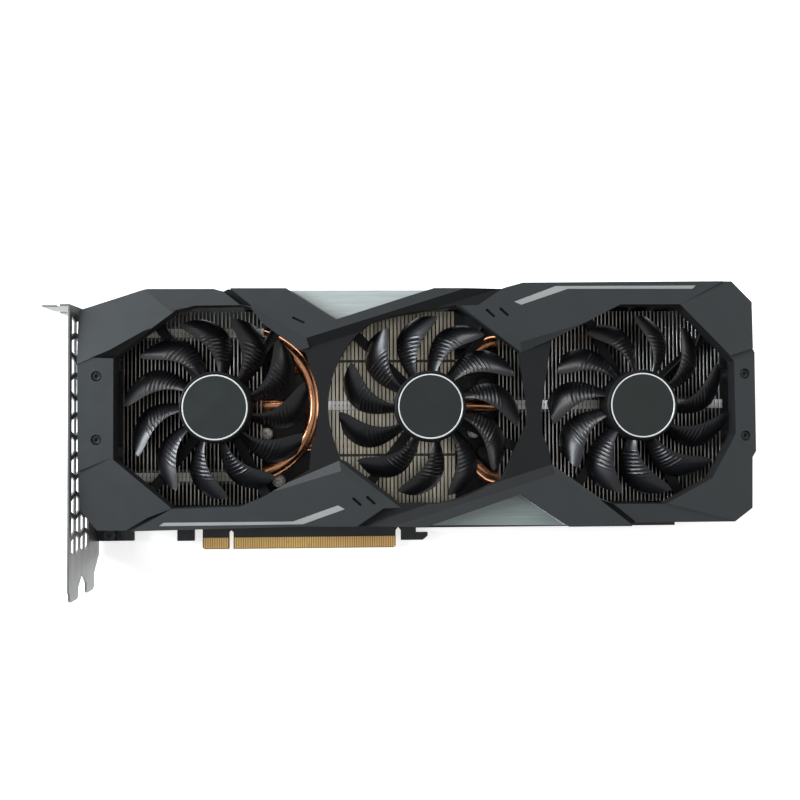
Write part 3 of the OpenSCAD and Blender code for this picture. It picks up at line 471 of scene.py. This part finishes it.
def slot(x, y, angle, length, width):
    """Outline of a round-ended slot."""
    c, s = math.cos(math.radians(angle)), math.sin(math.radians(angle))
    reach = (length - width) / 2
    ends = []
    for side, start in ((1, -90), (-1, 90)):
        for i in range(7):
            t = math.radians(start + 30 * i)
            ends.append((side * reach + width / 2 * math.cos(t), width / 2 * math.sin(t)))
    return [(x + c * u - s * v, y + s * u + c * v) for u, v in ends]


def tiles_of(outlines):
    """Splits overlaid outlines into tiles.

    Returns the corner points, the tiles, and for each tile the outlines that it lies in.
    """
    points, faces = [], []
    for outline in outlines:
        faces.append(list(range(len(points), len(points) + len(outline))))
        points += [Vector(p) for p in counter_clockwise(outline)]
    corners, _, tiles, _, _, inside = delaunay_2d_cdt(points, [], faces, 1, 1e-3)
    return corners, tiles, [set(i) for i in inside]


def ordered_loops(edges):
    """Chains boundary edges, each given start to end, into closed loops."""
    following = dict(edges)
    loops = []
    while following:
        start = next(iter(following))
        loop = [start]
        step = following.pop(start)
        while step != start:
            loop.append(step)
            step = following.pop(step)
        loops.append(loop)
    return loops


def carve_shell(outline, windows, areas, foot):
    """A hollow shell: a faceted front, outer walls down to foot(x, y), a collar at each window.

    An area is an outline, a height function, and a third item where the front there takes the
    darker copy of the plastic, painted shade.
    """
    corners, tiles, inside = tiles_of([outline, *windows, *[area[0] for area in areas]])
    first = 1 + len(windows)
    tops = []
    for tile, lies_in in zip(tiles, inside):
        if 0 not in lies_in or any(k in lies_in for k in range(1, first)):
            continue
        centre = sum((corners[i] for i in tile), Vector((0, 0))) / len(tile)
        over = [areas[k - first] for k in lies_in if k >= first]
        lowest = min(over, key=lambda area: area[1](*centre), default=(0, level(HIGH)))
        tops.append((tile, [min(HIGH, lowest[1](*corners[i])) for i in tile], len(lowest) == 3))
    column = {}
    for tile, heights, _ in tops:
        for i, z in zip(tile, heights):
            column.setdefault(i, []).append(z)
    for i, heights in column.items():
        groups = []
        for z in sorted(heights):
            if groups and z - groups[-1][0] < SAME_HEIGHT:
                groups[-1].append(z)
            else:
                groups.append([z])
        column[i] = [sum(g) / len(g) for g in groups]
    used = {}
    for tile, heights, _ in tops:
        for (i, zi), (j, zj) in closed_pairs(list(zip(tile, heights))):
            used.setdefault((i, j), (zi, zj))
    loops = ordered_loops([(i, j) for i, j in used if (j, i) not in used])

    def span(loop):
        return max(corners[i].x for i in loop) - min(corners[i].x for i in loop)

    outer = max(loops, key=span)
    for loop in loops:
        for i in loop:
            column[i].insert(0, foot(*corners[i]) if loop is outer else COLLAR_LOW)
    bm = bmesh.new()
    made = {(i, k): bm.verts.new((*corners[i], z))
            for i, zs in column.items() for k, z in enumerate(zs)}

    def rank(i, z):
        return min(range(len(column[i])), key=lambda k: abs(column[i][k] - z))

    def rise(i, a, b):
        """A corner's points from rank a to rank b, or the one point where they are the same."""
        step = 1 if b >= a else -1
        return [made[i, k] for k in range(a, b + step, step)]

    # Fronts of areas marked deep take the darker plastic, painted shade
    for tile, heights, deep in tops:
        front = bm.faces.new([made[i, rank(i, z)] for i, z in zip(tile, heights)])
        front.material_index = int(deep)
    for (i, j), (zi, zj) in used.items():
        a, b = rank(i, zi), rank(j, zj)
        if (j, i) in used:
            zj2, zi2 = used[j, i]
            c, d = rank(i, zi2), rank(j, zj2)
            if i > j or (a == c and b == d):
                continue
        else:
            c, d = 0, 0
        ring = rise(i, c, a) + rise(j, b, d)
        if len(ring) > 2:
            # The walls round the windows take the darker plastic, painted shade
            bm.faces.new(ring).material_index = int((j, i) not in used and i not in outer)

    def around(loop):
        """Foot and inner wall beside a border loop; returns the ring where it meets the ceiling."""
        edge = [tuple(corners[i]) for i in loop]
        moved = grow(edge, -WALL if loop is outer else -COLLAR)
        feet = [foot(*q) if loop is outer else COLLAR_LOW for q in edge]
        low = [bm.verts.new((*p, z)) for p, z in zip(moved, feet)]
        high = [bm.verts.new((*p, CEILING)) for p in moved]
        for k, i in enumerate(loop):
            m = (k + 1) % len(loop)
            bm.faces.new((made[i, 0], made[loop[m], 0], low[m], low[k]))
            bm.faces.new((low[k], low[m], high[m], high[k]))
        return moved, high

    edges = [around(loop) for loop in loops]
    edges.sort(key=lambda e: -max(abs(p[0]) for p in e[0]))
    spots = [p for ring, _ in edges for p in ring]
    verts = [v for _, ring in edges for v in ring]
    flat, pieces, lies = tiles_of([ring for ring, _ in edges])
    nearest = [min(range(len(spots)), key=lambda k: (Vector(spots[k]) - c).length_squared)
               for c in flat]
    for tile, where in zip(pieces, lies):
        if where == {0}:
            bm.faces.new([verts[nearest[i]] for i in tile])
    bmesh.ops.remove_doubles(bm, verts=bm.verts, dist=0.02)
    bmesh.ops.holes_fill(bm, edges=[e for e in bm.edges if e.is_boundary], sides=4)
    bmesh.ops.recalc_face_normals(bm, faces=bm.faces)
    return bm


def foot_height(x, y):
    """Foot of the outer walls: high over the fins in the two valleys, low at the free end."""
    if x > 132 and -43 < y < 43:
        return END_FOOT
    over_fins = -53 < x < -10 and 30 < y < 44.5 or 11 < x < 49 and -44.5 < y < -30
    return VALLEY_FOOT if over_fins else SIDE_FOOT


def make_shroud():
    """The shroud in one piece: the carved shell, the posts below it and the motor arms' posts."""
    slots = [slot(-30.2, -38.4, -42, 4.8, 1.1), slot(-24.6, -37.9, -42, 4.8, 1.1)]
    slots += [half_turn(s) for s in slots] + [slot(-53.6, 35.2, -24, 5.6, 0.9)]
    # The slots' floors are darkened with painted shade
    areas = carvings() + [(s, level(SLOT_FLOOR), "deep") for s in slots]
    areas += [(s, level(STRIP_SEAT)) for s in STRIPS]
    areas += [(circle(x, y, RECESS_R, 28), level(GROOVE)) for x, y in SCREWS]
    bm = carve_shell(OUTLINE, WINDOWS, areas, foot_height)
    for x, y in POSTS:
        prism_into(bm, circle(x, y, POST_R, 24), BOARD_TOP, POST_TOP)
    for axis_x, angles in ARMS:
        for x, y in arc(axis_x, 0, ARM_REACH, angles):
            prism_into(bm, circle(x, y, ARM_POST_R, 20), ARM_TOP, POST_TOP)
    return from_bmesh("shroud_shell", bm, SHROUD, PAINTED_SHADE)


def soften(made, width, rim_width, is_rim):
    """Rounds every crease, with wider rounding where is_rim(edge) is true."""
    bm = bmesh.new()
    bm.from_mesh(made.data)
    bmesh.ops.remove_doubles(bm, verts=bm.verts, dist=0.004)
    layers = bm.edges.layers.float
    weight = layers.get("bevel_weight_edge") or layers.new("bevel_weight_edge")
    for e in bm.edges:
        if len(e.link_faces) == 2 and e.calc_face_angle(0) > math.radians(FLAT_ANGLE):
            e[weight] = 1.0 if is_rim(e) else width / rim_width
    bm.to_mesh(made.data)
    bm.free()
    bevel = made.modifiers.new("bevel", "BEVEL")
    bevel.limit_method = "WEIGHT"
    bevel.width = rim_width
    bevel.segments = 3
    bevel.harden_normals = True
    bevel.miter_outer = "MITER_ARC"
    made.data.shade_smooth()
    settle(made)


def near_outline(point, outline, reach):
    """If a point stands within reach of an outline, seen from above."""
    p = Vector((point.x, point.y))
    for start, end in closed_pairs(outline):
        a, b = Vector(start), Vector(end)
        t = max(0, min(1, (p - a).dot(b - a) / (b - a).length_squared))
        if (a + (b - a) * t - p).length < reach:
            return True
    return False


def on_rim(edge):
    """If an edge runs along the outer rim of the front."""
    return all(v.co.z > RIM_LOW and near_outline(v.co, OUTLINE, 0.02) for v in edge.verts)


shroud = make_shroud()
soften(shroud, CREASE_W, RIM_W, on_rim)
to_frame(shroud)
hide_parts("shroud")
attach(shroud, "card")


def make_panel(node, valley, band_y, metal):
    """A valley panel: a brushed face on a light plate whose rim is a painted highlight line, and a
    light band on its outer side, also a painted highlight.
    """
    bm = bmesh.new()
    outline = counter_clockwise(valley)
    across = [p[0] for p in valley]
    prism_into(bm, grow(outline, -0.12), PANEL_LOW, PANEL_LOW + PANEL_T)
    box_into(bm, (min(across) + BAND_INSET, band_y, BAND_LOW),
             (max(across) - BAND_INSET, band_y + BAND_T, PANEL_LOW + 0.1))
    # The plate and the band take the light grey, painted highlight lines along the panel's edges
    for f in bm.faces:
        f.material_index = 1
    apex = Vector(outline[0])
    stretched = [tuple(apex + (Vector(p) - apex) * 1.04) for p in outline]
    prism_into(bm, grow(stretched, -0.6), PANEL_LOW + 0.9, CEILING)
    panel = from_bmesh(node + "_face", bm, metal, RING_AND_PANEL_HIGHLIGHT)
    to_frame(panel)
    bevelled(panel, 0.1, 2)
    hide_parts(node)
    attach(panel, "card")


make_panel("upper_trim_panel", [(-38.4, 35.4), (1.5, 48.2), (-58.5, 48.2)], 46.8, TRIM_LIGHT)
make_panel("lower_trim_panel", [(36.4, -36), (-2, -48.8), (56, -49.4)], -48.8, TRIM_MID)


# ---- Fans -----------------------------------------------------------------------------------


def lathe_into(bm, profile, count):
    """Revolves (radius, height) points about Z; a point at radius 0 closes the form."""
    rings = []
    for r, z in profile:
        ring = circle(0, 0, r, count) if r else [(0, 0)]
        rings.append([bm.verts.new((x, y, z)) for x, y in ring])
    for a, b in zip(rings, rings[1:]):
        for i in range(count):
            j = (i + 1) % count
            if len(a) == 1:
                bm.faces.new((a[0], b[j], b[i]))
            elif len(b) == 1:
                bm.faces.new((a[i], a[j], b[0]))
            else:
                bm.faces.new((a[i], a[j], b[j], b[i]))


def ease(t, a, b):
    """A smooth step from 0 at a to 1 at b."""
    t = max(0, min(1, (t - a) / (b - a)))
    return t * t * (3 - 2 * t)


BLADES = 11
TIP, ROOT = 37.4, 13.9  # radii
SWEEP = 25  # degrees from root to tip
HALF_T = 0.5  # half the thickness at the root
RIBS_FROM, RIBS_LONG = 0.18, 0.52  # the ribbed stretch, as shares of the blade's length
RIBS, RIB_SLANT, RIB_SHARPNESS, RIB_HEIGHT = 8, 0.35, 5, 0.38
HUB_PROFILE = [
    (0, 35), (12.4, 35), (12.9, 34.6), (12.9, 24.8), (13.1, 24.6), (14.4, 24.6), (14.7, 24.9),
    (14.7, 36.7), (14.62, 37.1), (14.35, 37.45), (14.2, 37.5), (14.12, 37.95), (13.95, 38.15),
    (13.7, 38.18), (13.52, 38.1), (13.5, 37.65), (0, 37.6)]
LABEL_PROFILE = [
    (0, 37.62), (13.25, 37.62), (13.36, 37.7), (13.36, 38.0), (13.28, 38.08), (13.2, 38.1),
    (12.82, 38.1), (12.75, 38.02), (12.7, 37.97), (10, 37.97), (0, 37.98)]
RING_FROM, RING_TO = 12.75, 13.3  # radii of the light ring round the label


def blade_surface(t, u, hand):
    """A point of a blade's middle sheet: t from root to tip, u from trailing to leading edge."""
    r = ROOT + (TIP - ROOT) * t
    chord = 1.4 + 4.1 * t + 5.2 * t * t - 6.2 * t ** 7
    a = math.radians(hand * SWEEP * (0.2 * t + 0.8 * t * t)) + hand * u * chord / r
    z = 30.2 + u * (2.8 + 2 * t - 0.8 * t ** 6) + (0.5 + 0.8 * t) * (1 - u * u)
    return Vector((r * math.cos(a), r * math.sin(a), z))


def blade_normal(t, u, hand):
    """The upward normal of a blade's middle sheet."""
    along = blade_surface(min(1, t + 0.01), u, hand) - blade_surface(max(0, t - 0.01), u, hand)
    across = blade_surface(t, u + 0.05, hand) - blade_surface(t, u - 0.05, hand)
    n = along.cross(across).normalized()
    return n if n.z > 0 else -n


def rib_height(t, u):
    """Height of the ribs over a blade's upper face, fading out towards its ends and edges."""
    wave = RIBS * (t - RIBS_FROM) / 0.5 + RIB_SLANT * u
    ridge = (0.5 + 0.5 * math.cos(2 * math.pi * wave)) ** RIB_SHARPNESS
    band = ease(t, RIBS_FROM, 0.21) * (1 - ease(t, 0.62, 0.7)) * (1 - ease(abs(u), 0.6, 0.9))
    return RIB_HEIGHT * ridge * band


def make_blade(bm, hand, start):
    """A closed blade with ribs on its upper face, turned to a start angle."""
    stations = [RIBS_FROM * i / 5 for i in range(5)]
    stations += [RIBS_FROM + RIBS_LONG * i / 60 for i in range(60)]
    stations += [0.7 + 0.3 * (i / 17) ** 0.8 for i in range(18)]
    columns = [-1 + 2 * j / 10 for j in range(11)]
    spin = Matrix.Rotation(math.radians(start), 3, "Z")
    sides = []
    for side in (1, -1):
        grid = []
        for t in stations:
            row = []
            for u in columns:
                thick = HALF_T * math.sqrt(max(0.0, 1 - 0.86 * u * u)) * (1 - 0.35 * t)
                if side > 0:
                    thick += rib_height(t, u)
                place = blade_surface(t, u, hand) + blade_normal(t, u, hand) * thick * side
                row.append(bm.verts.new(spin @ place))
            grid.append(row)
        sides.append(grid)
    upper, lower = sides
    rows, cols = len(stations), len(columns)
    for grid in sides:
        for i in range(rows - 1):
            for j in range(cols - 1):
                quad = [grid[i][j], grid[i + 1][j], grid[i + 1][j + 1], grid[i][j + 1]]
                bm.faces.new(quad if grid is upper else quad[::-1])
    rim = [(i, 0) for i in range(rows - 1)] + [(rows - 1, j) for j in range(cols - 1)]
    rim += [(i, cols - 1) for i in range(rows - 1, 0, -1)]
    rim += [(0, j) for j in range(cols - 1, 0, -1)]
    for (i, j), (k, m) in closed_pairs(rim):
        bm.faces.new((lower[i][j], lower[k][m], upper[k][m], upper[i][j]))


def make_rotor(side, x, hand, start):
    """A fan's hub with its blades, and the label on the hub."""
    bm = bmesh.new()
    lathe_into(bm, HUB_PROFILE, 96)
    for f in bm.faces:
        f.material_index = 1
    for i in range(BLADES):
        make_blade(bm, hand, start + 360 * i / BLADES)
    rotor = rounded(side + "_rotor", bm, (x, 0, 0), 50, BLADE, HUB)
    to_frame(rotor)
    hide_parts(side + "_fan_rotor")
    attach(rotor, side + "_fan")

    bm = bmesh.new()
    lathe_into(bm, LABEL_PROFILE, 96)
    for f in bm.faces:
        middle = f.calc_center_median()
        f.material_index = int(RING_FROM < middle.xy.length < RING_TO and middle.z > 38)
    label = rounded(side + "_label", bm, (x, 0, 0), 30, LABEL, RING_AND_PANEL_HIGHLIGHT)
    to_frame(label)
    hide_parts(side + "_fan_label")
    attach(label, side + "_fan")


# The middle fan's blades have the other hand
make_rotor("left", -PITCH, 1, -16.5)
make_rotor("middle", 0, -1, -13.8)
make_rotor("right", PITCH, 1, -3.9)


# ---- Fins and pipes -------------------------------------------------------------------------

BEND_R, BEND_Y, BEND_Z = 30.5, 1.4, 17.5  # the pipe that bends round beside the left fan
LEFT_PIPE_LOW, LEFT_PIPE_HIGH = -29.1, 31.9  # its two straight legs
MIDDLE_PIPE = 0.8
PIPE_Z = 11.4  # centre height of the straight pipes
PIPE_R = 2.98
FIN_PITCH, FIN_T, FIN_HALF = 1.65, 0.3, 41
FIN_LOW, LIP_LOW, LIP_TOP = 9.7, 20.7, 20.95
NOTCH_TOP, NOTCH_Y = 17, 34  # the fins' lower corner is cut away past here
ROW_GAP, NOTCH_GAP = 2, 0.55  # half the gap in the lips at a row of tabs and at a notch
BRIDGE_LOW, BRIDGE_TOP, BRIDGE_SIDE = 20.45, 20.6, 1.2  # folded strip below each gap
TAB_LONG, TAB_HALF, TAB_RAGGED = 1.45, 0.9, 0.2
CAP_LOW, CAP_TOP, CAP_HALF = 21, 21.25, 1.2  # short folded cap over each pair of tabs
EAR_HALF, EAR_LOW, EAR_TOP = 16, 19.2, 20.8
EAR_POST_Y, EAR_POST_R, EAR_POST_TOP = 12.8, 2.3, 35.6


def make_fins(name, node, x0, x1, rows, notches, metal, lip, ear=None):
    """Stamped fins with a folded lip along the top, locked together by rows of raised tabs.

    An ear is a plate past the stack's end with two posts: its ends along X and the posts' place.
    """
    dice = random.Random(7)
    bm = bmesh.new()
    cuts = sorted([(y, ROW_GAP) for y in rows] + [(y, NOTCH_GAP) for y in notches])
    breaks = [-FIN_HALF, *[y + side * d for y, d in cuts for side in (-1, 1)], FIN_HALF]
    for i in range(int((x1 - x0) / FIN_PITCH) + 1):
        x = x0 + FIN_PITCH * i
        lean = dice.uniform(-0.05, 0.05)
        # Below the lip the fins take the dark copy, painted shade between them
        box_into(bm, (x, -FIN_HALF, FIN_LOW), (x + FIN_T, NOTCH_Y, NOTCH_TOP), 1)
        box_into(bm, (x, -FIN_HALF, NOTCH_TOP), (x + FIN_T, FIN_HALF, LIP_LOW), 1)
        for a, b in zip(breaks[::2], breaks[1::2]):
            box_into(bm, (x, a, LIP_LOW), (x + lip + lean, b, LIP_TOP))
        for y in rows:
            for mid in (y - 1, y + 1):
                top = LIP_TOP + dice.uniform(0, TAB_RAGGED)
                box_into(bm, (x, mid - TAB_HALF, LIP_LOW), (x + TAB_LONG, mid + TAB_HALF, top), 2)
            top = CAP_TOP + dice.uniform(0, TAB_RAGGED)
            box_into(bm, (x + 0.1, y - CAP_HALF + lean * 6, CAP_LOW), (x + 1, y + CAP_HALF, top), 2)
        # The strips below the gaps take painted shade too
        for y, d in cuts:
            d += BRIDGE_SIDE
            box_into(bm, (x + FIN_T, y - d, BRIDGE_LOW), (x + FIN_PITCH, y + d, BRIDGE_TOP), 1)
    if ear:
        a, b, post = ear
        # The ear and its posts take painted shade
        box_into(bm, (a, -EAR_HALF, EAR_LOW), (b, EAR_HALF, EAR_TOP), 1)
        before = len(bm.faces)
        for y in (-EAR_POST_Y, EAR_POST_Y):
            prism_into(bm, circle(post, y, EAR_POST_R, 24), EAR_TOP - 0.2, EAR_POST_TOP)
        bm.faces.ensure_lookup_table()
        for f in bm.faces[before:]:
            f.material_index = 1
    fins = from_bmesh(name, bm, metal, FIN_PAINTED_SHADE, TAB)
    to_frame(fins)
    bevelled(fins, 0.06, 1)
    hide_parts(node)
    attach(fins, "card")


make_fins("fins_left", "fin_stack_left", -129, -70.6, [LEFT_PIPE_LOW, LEFT_PIPE_HIGH], [], FIN, 0.5,
          ear=(-138, -129.05, -134.9))
make_fins("fins_middle", "fin_stack_middle", -42.5, 11.2, [MIDDLE_PIPE], [19.7, -20.4], FIN_WARM,
          1.15)
make_fins("fins_right", "fin_stack_right", 30.5, 127, [MIDDLE_PIPE], [], FIN, 0.5,
          ear=(126.65, 132.3, 130))


def make_pipe(name, node, path, sides=32):
    """A drawn tube swept along a path, with closed ends."""
    points = [Vector(p) for p in path]
    bm = bmesh.new()
    rings = []
    last = len(points) - 1
    for i, p in enumerate(points):
        d = (points[min(i + 1, last)] - points[max(i - 1, 0)]).normalized()
        across = d.cross(Vector((0, 0, 1))).normalized()
        up = across.cross(d)
        rings.append([bm.verts.new(p + (across * u + up * v) * PIPE_R)
                      for u, v in circle(0, 0, 1, sides)])
    for a, b in zip(rings, rings[1:]):
        for k in range(sides):
            bm.faces.new((a[k], a[(k + 1) % sides], b[(k + 1) % sides], b[k]))
    bm.faces.new(rings[0][::-1])
    bm.faces.new(rings[-1])
    pipe = rounded(name, bm, (0, 0, 0), 50, COPPER)
    to_frame(pipe)
    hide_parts(node)
    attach(pipe, "card")


def fanned(y0, y1):
    """A route that swings from y0 to y1 between the left and the right half of the cooler."""
    steps = 16
    route = [(-66, y0), (-30, y0)]
    for i in range(steps + 1):
        share = (1 - math.cos(math.pi * i / steps)) / 2
        route.append((11 + 19 * i / steps, y0 + (y1 - y0) * share))
    return [(x, y, PIPE_Z) for x, y in [*route, (80, y1), (126, y1)]]


bend = [(x, y, BEND_Z) for x, y in arc(-79, BEND_Y, BEND_R, range(-90, 91, 4))]
make_pipe("pipe_bend", "heat_pipe_1",
          [(-128, LEFT_PIPE_LOW, BEND_Z), *bend, (-128, LEFT_PIPE_HIGH, BEND_Z)])
make_pipe("pipe_middle", "heat_pipe_2", [(-128, MIDDLE_PIPE, PIPE_Z), (126, MIDDLE_PIPE, PIPE_Z)])
make_pipe("pipe_upper", "heat_pipe_3", fanned(18, 28.6))
make_pipe("pipe_lower", "heat_pipe_4", fanned(-16, -30.5))


# ---- Edge contacts --------------------------------------------------------------------------

KEY = -86.28  # middle of the key notch
BOARD_BACK = 3
GOLD_T = 0.05
CONTACT_PITCH, CONTACT_W = 1, 0.8
CONTACT_LOW, CONTACT_HIGH, CONTACT_CHAMFER = -61.65, -56.95, 0.1


def make_contacts():
    """Edge contacts on both faces of the board, each with a chamfered upper end."""
    bm = bmesh.new()
    for first, count in ((KEY - 12.15, 11), (KEY + 1.4, 71)):
        for i in range(count):
            left = first + CONTACT_PITCH * i
            right = left + CONTACT_W
            shoulder = CONTACT_HIGH - 1.5 * CONTACT_CHAMFER
            outline = [(left, CONTACT_LOW), (right, CONTACT_LOW), (right, shoulder),
                       (right - CONTACT_CHAMFER, CONTACT_HIGH),
                       (left + CONTACT_CHAMFER, CONTACT_HIGH), (left, shoulder)]
            prism_into(bm, outline, BOARD_TOP, BOARD_TOP + GOLD_T)
            prism_into(bm, outline, BOARD_BACK - GOLD_T, BOARD_BACK)
    bmesh.ops.recalc_face_normals(bm, faces=bm.faces)
    made = from_bmesh("contacts", bm, GOLD)
    to_frame(made)
    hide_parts("edge_contacts")
    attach(made, "card")


make_contacts()


# ---- Cooler screws --------------------------------------------------------------------------

SCREW_PROFILE = [
    (0, 9.6), (2.6, 9.6), (2.6, 15.2), (2.1, 15.3), (2.1, 15.8), (2.2, 16.2), (1.9, 16.75),
    (1.3, 17), (0.75, 17.02), (0.6, 16.4), (0, 16.3)]


def make_cooler_screw(name, x, y):
    """A domed screw head with a recess, on a standoff of the cooler."""
    bm = bmesh.new()
    lathe_into(bm, SCREW_PROFILE, 48)
    made = rounded(name, bm, (x, y, 0), 35, TAB)
    to_frame(made)
    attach(made, "card")


make_cooler_screw("cooler_screw_left", -69.8, -11.2)
make_cooler_screw("cooler_screw_lower", -64.3, -31.6)
make_cooler_screw("cooler_screw_right", 20.4, -10.8)


# ---- Carried-over parts ---------------------------------------------------------------------


def per_fan(piece):
    return [f"{side}_fan_{piece}" for side in ("left", "middle", "right")]


LOOKS = {
    BOARD: ["pcb"],
    GOLD: ["power_pins"],
    SUBSTRATE: ["gpu_substrate"],
    SILICON: ["gpu_die"],
    CHIP: ["memory_chips", "power_stages", "control_chips"],
    CHOKE: ["chokes"],
    CAN: ["capacitors", "bracket_screws"],
    CERAMIC: ["small_components"],
    SHELL: ["display_port_shells", "hdmi_shell"],
    BLACK: ["fan_plugs", "display_inserts", "power_sockets", *per_fan("mount")],
    STEEL: ["io_bracket"],
    BRIGHT: ["spring_screws", "mount_springs", *per_fan("shaft")],
    BACKPLATE: ["backplate"],
    BLACK_STEEL: ["backplate_screws", "shroud_screws", "fan_screws"],
    SILVER: ["accent_strips"],
    BASE: ["heatsink_base"],
    COPPER: ["cold_plate"],
    PAD: ["thermal_pads"],
    SLEEVE: ["fan_leads"],
    WINDING: per_fan("stator"),
    BRONZE: per_fan("bearing"),
    MAGNET: per_fan("magnet"),
}
# Edge rounding in millimetres, where it isn't the usual one
USUAL_ROUNDING = 0.08
ROUNDING = {"accent_strips": 0.12, "io_bracket": 0.12, "backplate": 0.2, "pcb": 0.12,
            "power_sockets": 0.15, "shroud_screws": 0.25}
WELD_REACH = 0.000002  # metres
SHARP_ANGLE = 35  # degrees; flatter creases get no bevel
TABS_FROM = -144.8

for look, names in LOOKS.items():
    for name in names:
        part = nodes[name]
        part.data.materials.clear()
        part.data.materials.append(look)
        part.data.shade_smooth()
        weld = part.modifiers.new("weld", "WELD")
        weld.merge_threshold = WELD_REACH
        bevel = bevelled(part, ROUNDING.get(name, USUAL_ROUNDING), 2)
        bevel.angle_limit = math.radians(SHARP_ANGLE)
        bevel.harden_normals = True
        weighted = part.modifiers.new("normals", "WEIGHTED_NORMAL")
        weighted.keep_sharp = True
        weighted.weight = 60

# The bracket's tabs, which are screwed to the board, are dark
bracket = nodes["io_bracket"].data
bracket.materials.append(BLACK_STEEL)
for face in bracket.polygons:
    if face.center.x > AXIS.x + TABS_FROM / 1000:
        face.material_index = 1


# ---- Floor ----------------------------------------------------------------------------------

FLOOR_HALF, FLOOR_DROP = 3, 0.0002  # metres

bm = bmesh.new()
bmesh.ops.create_grid(bm, x_segments=24, y_segments=24, size=FLOOR_HALF)
floor = from_bmesh("floor", bm, FLOOR)
floor.location.z = -FLOOR_DROP
